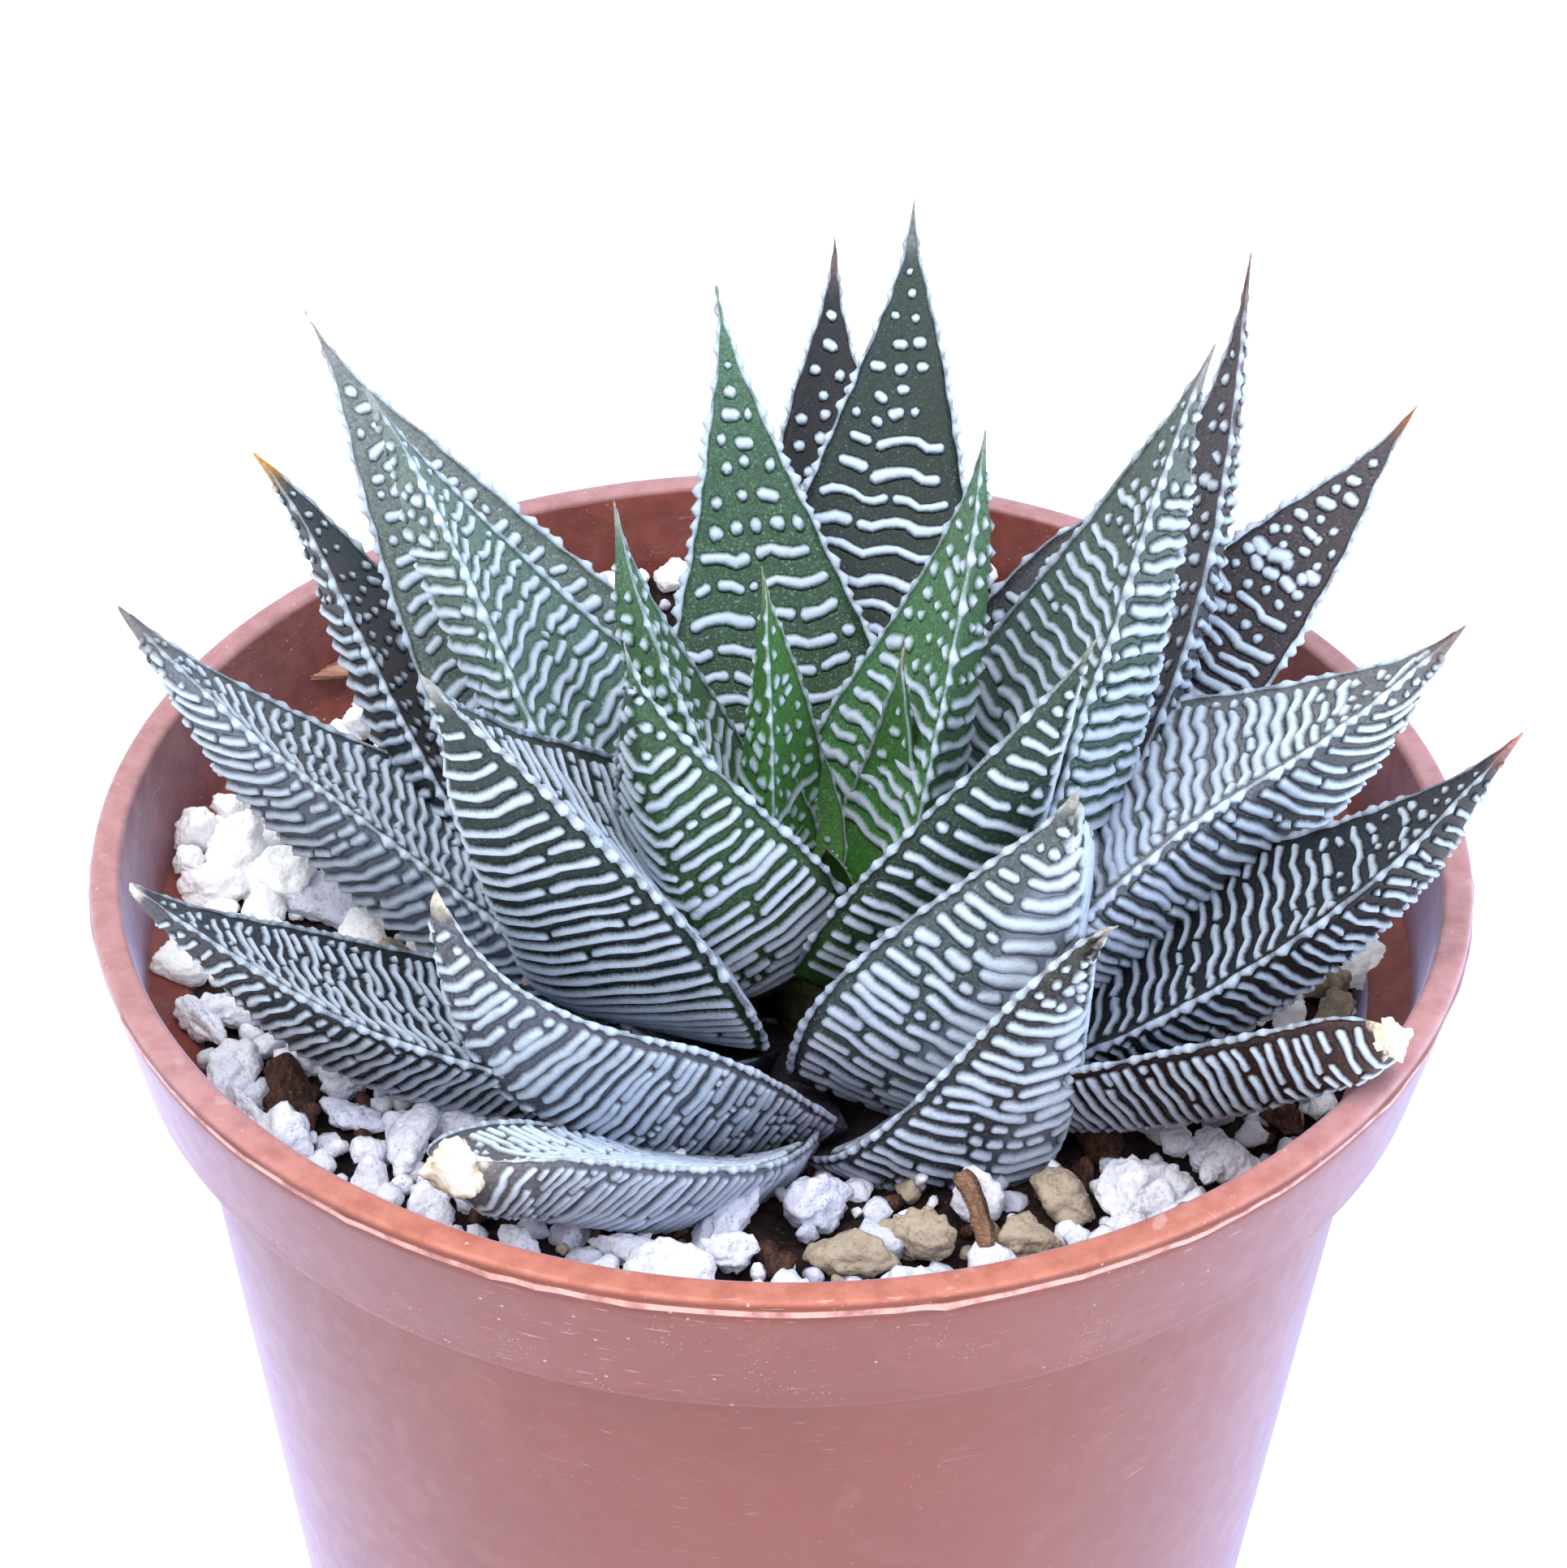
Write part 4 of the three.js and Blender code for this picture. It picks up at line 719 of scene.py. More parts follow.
def leaf_material(k):
    base, middle, near, tip, reach = PAINT[k]
    m = Mat(f"leaf_skin_{k:02d}", 0.5, Specular_IOR_Level=0.35)
    hh, tt, rr = m.attr("hh"), m.attr("tt"), m.attr("rr")
    soft = m.noise(0.22, 3)
    fine = m.noise(3.0, 4, 0.62)
    grit = m.noise(5.5, 4, 0.72)
    tn = m.math("ADD", tt, m.math("MULTIPLY", m.math("SUBTRACT", soft, 0.5), 0.14))
    half = tuple(int(0.5 * (a + b)) for a, b in zip(middle, near))
    ground = m.ramp(tn, (0.0, tone(base)), (0.34, tone(middle)), (0.68, tone(half)), (0.92, tone(near)))
    if k in PAINT_UP:
        b2, m2, n2 = PAINT_UP[k]
        half2 = tuple(int(0.5 * (a + b)) for a, b in zip(m2, n2))
        upper = m.ramp(tn, (0.0, tone(b2)), (0.34, tone(m2)), (0.68, tone(half2)), (0.92, tone(n2)))
        ground = m.mix(m.attr("ff"), ground, upper)
    ground = m.mix(m.step(fine, 0.34, 0.66, 0.5, 0.0), ground, tone(tuple(0.58 * x for x in middle)))
    ground = m.mix(m.step(grit, 0.50, 0.70, 0.0, 0.42), ground, tone(tuple(min(255, 1.2 * x + 34) for x in near)))
    dust = m.cells(2.3)
    ground = m.mix(m.math("MULTIPLY", m.step(dust.outputs["Distance"], 0.06, 0.28, 0.45, 0.0), m.step(m.noise(0.5, 2), 0.40, 0.60)), ground, tone(tuple(min(255, 1.2 * x + 60) for x in near)))
    # painted reflection: a pale bluish wash of the white floor and backdrop on part of the back
    if k in PAINTED_REFLECTION:
        lo, hi, most = PAINTED_REFLECTION[k]
        part = m.math("MULTIPLY", m.step(m.math("ADD", m.attr("ss"), m.math("MULTIPLY", m.math("SUBTRACT", soft, 0.5), 0.5)), lo, hi, 0.0, most),
                      m.math("SUBTRACT", 1.0, m.attr("ff")))
        part = m.math("MULTIPLY", part, m.math("MULTIPLY", m.step(tn, 0.12, 0.34), m.step(tn, 0.72, 0.9, 1.0, 0.0)))
        ground = m.mix(part, ground, tone((162, 172, 196)))
    # bands: bluish white on the crest; greyer low on the flank and near the base, which is painted shade
    bright = BRIGHT.get(k, 0.80)
    # painted shade: the bands at the base of these leaves are darker still
    base_shade = {9: 0.58, 27: 0.7, 26: 0.8, 8: 0.8, 21: 0.85}.get(k, 1.0) * bright
    white = m.ramp(tn, (0.0, tone((150, 152, 180), base_shade)), (0.16, tone((186, 194, 216), 0.6 * base_shade + 0.4 * bright)), (0.40, tone((210, 226, 248), bright)), (1.0, tone((222, 238, 252), bright)))
    white = m.mix(m.step(m.noise(1.3, 3), 0.44, 0.80, 0.0, 0.30), white, m.mix(0.35, ground, tone((212, 226, 240), 0.75)))
    # painted shade on the low flank of each band
    white = m.mix(m.step(hh, 0.30, 0.95, 0.50, 0.0), white, tone((156, 170, 192), 0.70))
    white = m.mix(m.step(rr, 0.0, 1.0, 0.0, 0.12), white, tone((176, 188, 200), 0.75))
    edge = m.math("ADD", hh, m.math("MULTIPLY", m.math("SUBTRACT", m.noise(2.6, 2), 0.5), 0.26))
    edge = m.math("ADD", edge, m.math("MULTIPLY", m.math("SUBTRACT", grit, 0.5), m.step(hh, 0.0, 0.10, 0.0, 0.55)))
    cover = m.step(edge, 0.12, 0.84)
    body = m.mix(cover, ground, white)
    # the tip
    at_tip = m.step(m.math("ADD", tt, m.math("MULTIPLY", m.math("SUBTRACT", m.noise(0.9, 3), 0.5), 0.05)), 1 - reach * 2.2, 1 - reach * 0.5)
    if k in ENDS:
        tips = m.mix(m.step(m.noise(0.8, 4), 0.35, 0.68), tone((252, 248, 238), 0.92), tone((236, 220, 190), 0.85))
    else:
        tips = m.mix(m.step(fine, 0.35, 0.7), tone(tip, 0.75), tone(tuple(0.82 * x for x in tip), 0.7))
    m.colour(m.mix(at_tip, body, tips))
    m.roughness(m.math("ADD", m.math("MULTIPLY", cover, 0.14), m.step(fine, 0.3, 0.7, 0.40, 0.52)))
    m.bump(m.math("ADD", m.math("MULTIPLY", fine, 0.6), m.math("MULTIPLY", grit, 0.7)), 0.85, 0.00011)
    return m.m


def crumple(soup, leaf, r, seed, low=0.45, out=0.2):
    """The dried, folded end of a leaf."""
    v, f = ball(4)
    mid, tan, across, up, w = leaf.frame([leaf.end - 0.01])
    q = v * 1.1
    fold = 0.42 * noise3(q * 1.5, seed) + 0.36 * np.abs(noise3(q * 2.6, seed + 1)) + 0.16 * np.abs(noise3(q * 5.2, seed + 2))
    p = v * (0.86 + fold)[:, None]
    p = p * np.asarray(r)
    p = p @ np.stack([tan[0], across[0], up[0]])
    soup.add(mid[0] - up[0] * leaf.kh * w[0] * low + tan[0] * out * r[0] + p, None, f, hh=0.0, tt=1.0, ss=0.0, rr=0.5, ff=0.5)


def make_leaf(k):
    leaf = Leaf(LEAVES[k], ENDS.get(k, 1.0), PINCH.get(k, (0.78, 0.42)), *((0.34, 0.48) if k == 10 else (0.7, 0.35)))
    rng = np.random.default_rng(100 + k)
    soup = Soup("hh", "tt", "ss", "rr", "ff")
    top, back, line = STYLE[k]
    leaf_body(soup, leaf, 58 if leaf.length > 25 else 40)
    body_points = soup.points()
    rank = LEAVES[k][7]
    knobs = {1: [], -1: []}
    face_bands(soup, leaf, 1, {**AD, **top}, rng, knobs)
    face_bands(soup, leaf, -1, {**AB, "t0": 0.06 if rank < 3 else 0.14, **back}, rng, knobs)
    for side in (1, -1):
        margin_line(soup, leaf, side, 0.92 * line, knobs[side], rng)
    if k == 10:
        crumple(soup, leaf, (1.1, 1.9, 1.3), 41, 0.16, 0.35)
    if k == 27:
        crumple(soup, leaf, (0.9, 1.25, 1.0), 67)

    def warp(v, attrs):
        return v + 0.12 * np.stack([noise3(v * 0.16, 11 * k), noise3(v * 0.16, 11 * k + 3), noise3(v * 0.16, 11 * k + 6)], 1)
    ob = soup.build(f"haworthia_leaf_{k:02d}", leaf_material(k), warp)
    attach(ob, "root")
    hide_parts(f"leaf_{k:02d}")
    return leaf, body_points


leaf_points = []
for k in LEAVES:
    _, pts = make_leaf(k)
    leaf_points.append(pts)
leaf_points = np.concatenate(leaf_points)


# ---------------------------------------------------------------- the pot
POT_H, COLLAR_Z = 75.0, 65.5


def body_radius(z):
    return 38.19 - 0.0932 * (COLLAR_Z - z)


def inside_radius(z):
    z = np.asarray(z, float)
    low = body_radius(66.0) - 1.1
    return np.where(z > 67.2, 39.75 + (40.52 - 39.75) * (z - 67.2) / 7.8,
                    np.where(z > 66.0, low + (39.75 - low) * (z - 66.0) / 1.2, body_radius(z) - 1.1))


def make_pot():
    def arc(c, r, a0, a1, n):
        a = np.radians(np.linspace(a0, a1, n))
        return [(c[0] + r * math.cos(x), c[1] + r * math.sin(x)) for x in a]
    # outside, from the centre of the underside up, over the rim and down inside
    prof = [(0.35, 0.9), (6.0, 0.9), (29.6, 0.9), (30.3, 0.55), (30.6, 0.05), (31.2, 0.0)]
    prof += arc((31.2, 0.9), 0.9, -80, -4, 5)
    prof += [(body_radius(z), z) for z in np.linspace(3, 64.6, 12)]
    prof += [(38.2, 65.0), (38.35, 65.28), (38.8, 65.42), (40.2, 65.45), (40.62, 65.5), (40.84, 65.68), (40.9, 65.95)]
    slope = (42.42 - 40.93) / (74.0 - 66.2)
    prof += [(40.93 + slope * (z - 66.2), z) for z in np.linspace(66.2, 73.3, 8)]
    # the groove, then the moulding flash under the rim's edge
    prof += [(42.32, 73.62), (42.3, 73.78), (42.32, 73.92), (42.42, 74.02), (42.5, 74.12), (42.5, 74.26), (42.42, 74.38), (42.4, 74.5)]
    prof += arc((42.02, 74.6), 0.38, 0, 84, 5)
    prof += [(41.7, 75.0), (41.2, 74.99)]
    prof += arc((40.95, 74.62), 0.38, 92, 176, 5)
    prof += [(float(inside_radius(z)), z) for z in np.linspace(74.0, 67.4, 5)]
    prof += [(39.6, 67.06), (37.35, 66.12), (37.08, 65.9)]
    prof += [(float(inside_radius(z)), z) for z in np.linspace(64.5, 3.4, 9)]
    prof += [(30.9, 2.5), (30.4, 1.95), (29.6, 1.62), (6.0, 1.6), (0.35, 1.6)]
    prof = np.array(prof)
    n = 208
    a = np.arange(n) / n * 2 * np.pi
    m = len(prof)
    v = np.stack([np.outer(np.cos(a), prof[:, 0]), np.outer(np.sin(a), prof[:, 0]), np.tile(prof[:, 1], (n, 1))], 2)
    # the flash line is ragged, and the rim is a little out of true
    zi = prof[:, 1]
    flash = (zi > 74.0) & (zi < 74.4) & (prof[:, 0] > 42.3)
    rag = fractal(np.stack([np.cos(a) * 14, np.sin(a) * 14, np.zeros(n)], 1), 3, 3)
    rag2 = fractal(np.stack([np.cos(a) * 40, np.sin(a) * 40, np.zeros(n) + 5], 1), 2, 8)
    v[:, flash, 0] *= 1 + ((0.05 * rag + 0.07 * np.maximum(rag2, 0)) / 42)[:, None]
    v[:, flash, 1] *= 1 + ((0.05 * rag + 0.07 * np.maximum(rag2, 0)) / 42)[:, None]
    v[:, flash, 2] += (0.05 * rag2)[:, None]
    low = (zi > 73.9) & (zi < 74.2) & (prof[:, 0] > 42.1)
    v[:, low, 2] -= (0.16 * np.maximum(rag2, 0) + 0.1 * np.maximum(rag, 0))[:, None]
    rim = smooth(zi, 60, 75)
    slow = noise3(np.stack([np.cos(a) * 1.3, np.sin(a) * 1.3, np.zeros(n)], 1), 21)
    v[:, :, 2] += 0.12 * slow[:, None] * smooth(zi, 73.0, 74.9)[None, :]
    v[:, :, 0] *= 1 + 0.0016 * slow[:, None] * rim[None, :]
    v[:, :, 1] *= 1 + 0.0016 * slow[:, None] * rim[None, :]
    soup = Soup()
    v = v.reshape(-1, 3)
    i = np.arange(n)[:, None]
    j = np.arange(m - 1)[None, :]
    i2 = (i + 1) % n
    quads = np.stack([i * m + j, i2 * m + j, i2 * m + j + 1, i * m + j + 1], 2).reshape(-1, 4)
    # the two ends meet at small discs on the axis
    c0, c1 = n * m, n * m + 1
    ii = np.arange(n)
    kk = (ii + 1) % n
    tris = np.concatenate([np.stack([np.full(n, c0), kk * m, ii * m], 1), np.stack([np.full(n, c1), ii * m + m - 1, kk * m + m - 1], 1)])
    soup.add(np.concatenate([v, [[0, 0, 0.9], [0, 0, 1.6]]]), quads, tris)
    return soup


def plastic():
    m = Mat("pot_plastic", 0.5, Specular_IOR_Level=0.45, Sheen_Weight=0.95, Sheen_Roughness=0.34, Sheen_Tint=(0.56, 0.56, 0.90, 1.0))
    x, y, z = m.split()
    r = m.vec("LENGTH", m.join(x, y, 0.0))
    # inside or outside of the wall: the inside lies within this cone
    wall = m.math("SUBTRACT", r, m.math("ADD", m.math("MULTIPLY", z, 0.0932), 32.085 - 0.55))
    up_in = m.math("SUBTRACT", r, m.math("ADD", m.math("MULTIPLY", z, 0.1), 33.55))
    high = m.step(z, 65.4, 65.6)
    inside = m.math("ADD", m.math("MULTIPLY", high, m.step(up_in, -0.05, 0.05, 1.0, 0.0)),
                    m.math("MULTIPLY", m.math("SUBTRACT", 1.0, high), m.step(wall, -0.05, 0.05, 1.0, 0.0)))
    top = m.step(z, 74.55, 74.85)
    cloud = m.noise(0.05, 4, 0.6)
    mottled = m.noise(0.6, 5, 0.62)
    fine = m.noise(6.0, 3, 0.6)
    outer = m.mix(m.step(cloud, 0.35, 0.7), lin(116, 53, 39), lin(107, 47, 35))
    outer = m.mix(m.step(mottled, 0.42, 0.75, 0.0, 0.35), outer, lin(124, 66, 54))
    inner = m.mix(m.step(mottled, 0.3, 0.7), lin(142, 72, 60), lin(118, 58, 50))
    col = m.mix(inside, outer, inner)
    # the rim's top: orange at the front, lilac further back; the lilac is a painted reflection of the white
    # surroundings
    rim_col = m.mix(m.step(y, -38.0, -24.0), m.mix(m.step(mottled, 0.35, 0.7), lin(178, 110, 92), lin(158, 88, 70)),
                    m.mix(m.step(mottled, 0.35, 0.7), lin(177, 131, 133), lin(162, 114, 114)))
    col = m.mix(top, col, rim_col)
    # the flash under the rim is pale
    band_a = m.math("MULTIPLY", m.step(z, 73.80, 73.92), m.step(z, 74.3, 74.4, 1.0, 0.0))
    band_a = m.math("MULTIPLY", band_a, m.step(r, 42.22, 42.36))
    col = m.mix(m.math("MULTIPLY", band_a, m.step(m.noise(0.7, 4), 0.32, 0.58, 0.35, 1.0)), col, lin(214, 158, 148))
    # dust: scattered pale specks, more inside and on the collar, and dry mineral film
    dust = m.cells(1.1)
    spec = m.math("MULTIPLY", m.step(dust.outputs["Distance"], 0.05, 0.15, 1.0, 0.0), m.step(m.noise(0.35, 3), 0.5, 0.62))
    dust2 = m.cells(3.2)
    spec2 = m.math("MULTIPLY", m.step(dust2.outputs["Distance"], 0.10, 0.24, 1.0, 0.0), m.step(m.noise(0.22, 4, 0.6, dist=0.5), 0.52, 0.66))
    both = m.math("MAXIMUM", spec, m.math("MULTIPLY", spec2, 0.65))
    amount = m.math("ADD", m.math("MULTIPLY", m.math("MAXIMUM", inside, m.step(z, 63.0, 68.0)), 0.5), 0.14)
    col = m.mix(m.math("MULTIPLY", both, amount), col, lin(210, 186, 184))
    film = m.step(m.noise(0.12, 5, 0.65, dist=1.2), 0.52, 0.8, 0.0, 0.22)
    col = m.mix(film, col, lin(152, 104, 98))
    # scratches across the collar and down the wall
    sv = m.vec("MULTIPLY", m.pos, (0.35, 0.35, 4.5))
    scratch = m.math("MULTIPLY", m.step(m.noise(1.4, 2, 0.5, vec=sv), 0.66, 0.74), m.step(z, 64.8, 66.0, 0.22, 0.42))
    col = m.mix(m.math("MULTIPLY", scratch, m.step(m.noise(0.09, 2), 0.40, 0.60)), col, lin(204, 170, 168))
    # a few dark specks
    dark = m.cells(0.16)
    col = m.mix(m.step(dark.outputs["Distance"], 0.03, 0.055, 0.75, 0.0), col, lin(70, 30, 32))
    m.colour(col)
    m.roughness(m.math("ADD", m.step(mottled, 0.3, 0.7, 0.40, 0.54), m.math("MULTIPLY", both, 0.2)))
    m.bump(m.math("ADD", m.math("MULTIPLY", fine, 0.5), m.math("MULTIPLY", mottled, 0.5)), 0.35, 0.00008)
    return m.m


pot = make_pot().build("nursery_pot", plastic())
cutters = []
for i in range(8):
    a = (i + 0.5) / 8 * 2 * math.pi
    bm = bmesh.new()
    bmesh.ops.create_cone(bm, cap_ends=True, segments=40, radius1=2.6 * MM, radius2=2.6 * MM, depth=6 * MM)
    me = bpy.data.meshes.new("drill")
    bm.to_mesh(me)
    bm.free()
    ob = bpy.data.objects.new("drill", me)
    ob.location = (21 * math.cos(a) * MM, 21 * math.sin(a) * MM, 0.8 * MM)
    scene.collection.objects.link(ob)
    cutters.append(ob)
bpy.context.view_layer.update()
for i, ob in enumerate(cutters):
    mod = pot.modifiers.new("hole", "BOOLEAN")
    mod.operation = "DIFFERENCE"
    mod.solver = "MANIFOLD"
    mod.object = ob
dg = bpy.context.evaluated_depsgraph_get()
done = bpy.data.meshes.new_from_object(pot.evaluated_get(dg))
pot.modifiers.clear()
pot.data = done
for ob in cutters:
    bpy.data.objects.remove(ob)
for p in pot.data.polygons:
    p.use_smooth = True
pot.data.set_sharp_from_angle(angle=math.radians(38))
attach(pot, "root")
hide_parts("pot")


# ---------------------------------------------------------------- mix, grains, bark
def mix_height(x, y):
    free = 65.2 - 0.03 * x + 0.035 * y + 0.002 * y * y + 0.0018 * x * y
    d = np.hypot(x - 2.5, y + 7.6) / 16.0
    return free - np.where(d < 1, 5 * (1 - d * d) ** 2, 0.0)


def make_bed():
    """The dark bulk of the mix: a closed lump that fills the pot and stays inside its wall."""
    n = 120
    part = np.concatenate([np.linspace(0.008, 0.93, 44), [0.955, 0.975, 0.99, 1.0]])
    a = np.arange(n) / n * 2 * np.pi
    edge = np.full(n, 38.0)
    for _ in range(6):
        edge = np.minimum(39.3, inside_radius(mix_height(edge * np.cos(a), edge * np.sin(a)) - 1.4) - 0.3)
    x, y = part[:, None] * (edge * np.cos(a))[None, :], part[:, None] * (edge * np.sin(a))[None, :]
    z = mix_height(x, y) - 0.6
    p = np.stack([x.ravel(), y.ravel(), z.ravel()], 1)
    rough = (0.55 * fractal(p * 0.55, 3, 4) + 0.35 * np.abs(fractal(p * 1.4, 2, 9))).reshape(z.shape)
    z = z + rough * (1 - 0.8 * smooth(part, 0.93, 1.0))[:, None]
    rings = [np.stack([x[i], y[i], z[i]], 1) for i in range(len(part))]
    rings.append(np.stack([edge * np.cos(a), edge * np.sin(a), z[-1] - 0.5], 1))
    for zz in (60.5, 58.0, 40.0, 20.0, 3.6):
        r = float(inside_radius(zz)) - 0.3 if zz > 3.7 else 31.0
        rings.append(np.stack([r * np.cos(a), r * np.sin(a), np.full(n, zz)], 1))
    rings.append(np.stack([28.5 * np.cos(a), 28.5 * np.sin(a), np.full(n, 1.95)], 1))
    rings.append(np.stack([0.4 * np.cos(a), 0.4 * np.sin(a), np.full(n, 1.95)], 1))
    v = np.concatenate(rings + [rings[0].mean(0)[None], rings[-1].mean(0)[None]])
    soup = Soup()
    soup.add(v, ring_quads(len(rings), n)[:, ::-1], end_caps(len(rings), n)[:, ::-1])
    return soup


def soil_material():
    m = Mat("mix_soil", 0.9, Specular_IOR_Level=0.2)
    a, b = m.noise(0.9, 5, 0.65), m.noise(4.0, 3, 0.6)
    c = m.mix(m.step(a, 0.35, 0.68), lin(24, 16, 18), lin(52, 36, 34))
    c = m.mix(m.step(b, 0.62, 0.76), c, lin(100, 86, 82))
    c = m.mix(m.step(b, 0.28, 0.42, 1.0, 0.0), c, lin(16, 10, 12))
    m.colour(c)
    m.bump(m.math("ADD", a, m.math("MULTIPLY", b, 0.6)), 0.9, 0.0004)
    return m.m


def pumice_material(name, light, mid, dark, spots, painted_glow=0.0):
    # painted light: a faint white glow lifts the grains out of the shade
    m = Mat(name, 0.85, Specular_IOR_Level=0.25, Emission_Color=(0.97, 0.98, 1.0, 1.0), Emission_Strength=painted_glow)
    rr = m.attr("rr")
    a, b = m.noise(0.8, 5, 0.6), m.noise(3.6, 4, 0.65)
    pits = m.cells(2.6)
    c = m.mix(m.step(a, 0.35, 0.7), light, mid)
    c = m.mix(m.step(b, 0.56, 0.74, 0.0, 0.5), c, mid)
    # painted shade in the pores: the pits, which the bump sinks, are darkened
    c = m.mix(m.step(pits.outputs["Distance"], 0.08, 0.26, 0.55, 0.0), c, dark)
    c = m.mix(m.math("MULTIPLY", m.step(m.noise(1.9, 3), 0.62, 0.72), spots), c, dark)
    c = m.mix(m.math("MULTIPLY", m.step(rr, 0.55, 1.0), 0.35), c, mid)
    m.colour(c)
    m.bump(m.math("ADD", m.math("MULTIPLY", b, 0.7), m.math("MULTIPLY", pits.outputs["Distance"], 0.6)), 0.7, 0.00022)
    return m.m


def bark_material():
    m = Mat("bark_chip", 0.85, Specular_IOR_Level=0.25)
    v = m.vec("MULTIPLY", m.pos, (2.4, 0.7, 1.2))
    a, b = m.noise(0.9, 5, 0.6, vec=v), m.noise(4.5, 3, 0.6)
    c = m.mix(m.step(a, 0.35, 0.65), lin(46, 28, 26), lin(88, 58, 48))
    c = m.mix(m.step(b, 0.55, 0.72, 0.0, 0.6), c, lin(128, 96, 80))
    c = m.mix(m.step(b, 0.3, 0.42, 0.8, 0.0), c, lin(28, 18, 18))
    m.colour(c)
    m.bump(m.math("ADD", a, m.math("MULTIPLY", b, 0.5)), 0.9, 0.0003)
    return m.m


# the white grains carry painted light: a faint glow that lifts them out of the shade
MAT_WHITE = pumice_material("pumice_white", lin(251, 252, 254), lin(241, 243, 250), lin(198, 200, 212), 0.10, 0.10)
MAT_GREY = pumice_material("pumice_grey", lin(218, 220, 238), lin(190, 194, 214), lin(108, 110, 124), 0.45)
# a dimmer lilac copy of the white, with a weaker painted glow, for the white grains at the front: painted shade
MAT_WHITE_SHADED = pumice_material("pumice_white_shaded", lin(236, 237, 248), lin(214, 217, 233), lin(150, 152, 166), 0.28, 0.02)
MAT_TAN = pumice_material("grit_tan", lin(180, 165, 148), lin(156, 142, 126), lin(98, 84, 70), 0.55)
MAT_BARK = bark_material()
MAT_SOIL = soil_material()


def grain_points(half, level, rng, rough=0.06, pits=6, planes=15, sharp=16.0):
    """A broken, rounded and bumpy lump with the given half sizes, about the origin."""
    d, f = ball(level)
    n = rng.normal(size=(planes, 3))
    n /= np.linalg.norm(n, axis=1, keepdims=True)
    h = rng.uniform(0.72, 1.0, planes)
    c = d @ n.T
    r = np.where(c > 0.08, h / np.maximum(c, 0.08), 12.0)
    r = -np.log(np.exp(-sharp * r).sum(1)) / sharp
    r = np.minimum(r, 1.35)
    p = d * r[:, None]
    p /= np.abs(p).max(0)
    p = p * half
    size = float(np.mean(half))
    seed = int(rng.integers(1, 9000))
    lumps = 0.55 * fractal(p / size * 1.6, 2, seed) + 1.3 * np.abs(noise3(p / size * 2.4, seed + 7)) + 0.8 * np.abs(noise3(p / size * 4.8, seed + 8)) - 0.6
    p = p + d * (size * rough * lumps)[:, None]
    for _ in range(pits):
        q = rng.normal(size=3)
        q /= np.linalg.norm(q)
        w = rng.uniform(0.10, 0.26)
        k = np.exp(-((d - q) ** 2).sum(1) / (w * w))
        p = p - d * (size * rng.uniform(0.05, 0.13) * k)[:, None]
    return p, f


def turn(p, yaw, tilt=0.0, roll=0.0):
    m = Matrix.Rotation(yaw, 3, "Z") @ Matrix.Rotation(tilt, 3, "Y") @ Matrix.Rotation(roll, 3, "X")
    return p @ np.array(m).T


bed = make_bed().build("mix_bed", MAT_SOIL)
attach(bed, "root")
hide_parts("potting_mix")

GRAINS = [
    ("pumice_01", (-35.39, 8.02, 66.79), (2.48, 1.94, 1.78), 0.0), ("pumice_02", (-36.5, 3.0, 67.2), (2.7, 1.43, 1.32), 8.0),
    ("pumice_03", (-31.85, 3.24, 66.96), (2.43, 2.01, 1.85), 0.0), ("pumice_04", (-29.13, 2.0, 66.32), (2.82, 1.89, 1.74), -30.4),
    ("pumice_05", (-37.3, -5.1, 67.3), (1.7, 1.6, 1.5), 0.0), ("pumice_06", (-35.7, -10.47, 67.18), (3.52, 1.11, 1.02), -55.4),
    ("pumice_07", (-32.66, -16.5, 67.87), (2.24, 1.47, 1.35), 70.3), ("pumice_08", (-30.54, -20.78, 68.36), (2.96, 0.77, 0.71), -53.5),
    ("bark_01", (-28.5, -18.93, 67.27), (3.94, 1.84, 1.7), -71.8), ("pumice_09", (-25.1, -19.4, 67.23), (2.11, 1.06, 0.98), -23.4),
    ("pumice_10", (-21.4, -22.4, 67.57), (3.16, 1.24, 1.14), 77.3), ("pumice_11", (-18.65, -19.19, 66.79), (2.56, 1.54, 1.42), 15.9),
    ("grit_01", (-8.0, -30.82, 67.42), (2.4, 1.1, 1.01), -8.0), ("pumice_12", (-2.4, -26.54, 66.68), (4.3, 1.26, 1.16), 66.5),
    ("pumice_13", (-2.87, -30.62, 67.33), (1.85, 1.1, 1.01), 8.0), ("pumice_14", (1.91, -25.5, 66.22), (2.16, 1.79, 1.64), 0.0),
    ("grit_02", (4.39, -29.85, 66.41), (2.59, 1.29, 1.19), 0.0), ("grit_03", (8.61, -28.11, 66.03), (2.52, 1.72, 1.59), 0.0),
    ("grit_04", (14.16, -27.43, 65.67), (1.91, 1.41, 1.29), 15.9), ("grit_05", (16.65, -23.49, 65.08), (1.81, 1.91, 1.76), 0.0),
    ("pumice_15", (21.26, -22.04, 64.97), (3.11, 2.02, 1.86), 23.4), ("pumice_16", (26.67, -19.26, 64.39), (2.75, 1.66, 1.53), -8.0),
    ("bark_02", (19.18, -17.14, 64.16), (1.91, 1.37, 1.26), -43.0), ("pumice_17", (36.9, -2.2, 65.3), (1.5, 1.9, 1.8), 0.0),
]
GREY_ONES = {"pumice_04", "pumice_09", "pumice_12", "pumice_14"}
# white grains at the front, which get the shaded copy of the white: painted shade
SHADED_WHITE_ONES = {"pumice_06", "pumice_07", "pumice_08", "pumice_10", "pumice_11", "grit_01", "pumice_13", "pumice_15", "pumice_16"}
WHITE_GRIT = {"grit_01"}
FINE_ONES = {"pumice_03", "pumice_11", "pumice_15", "pumice_16", "bark_01", "grit_03"}

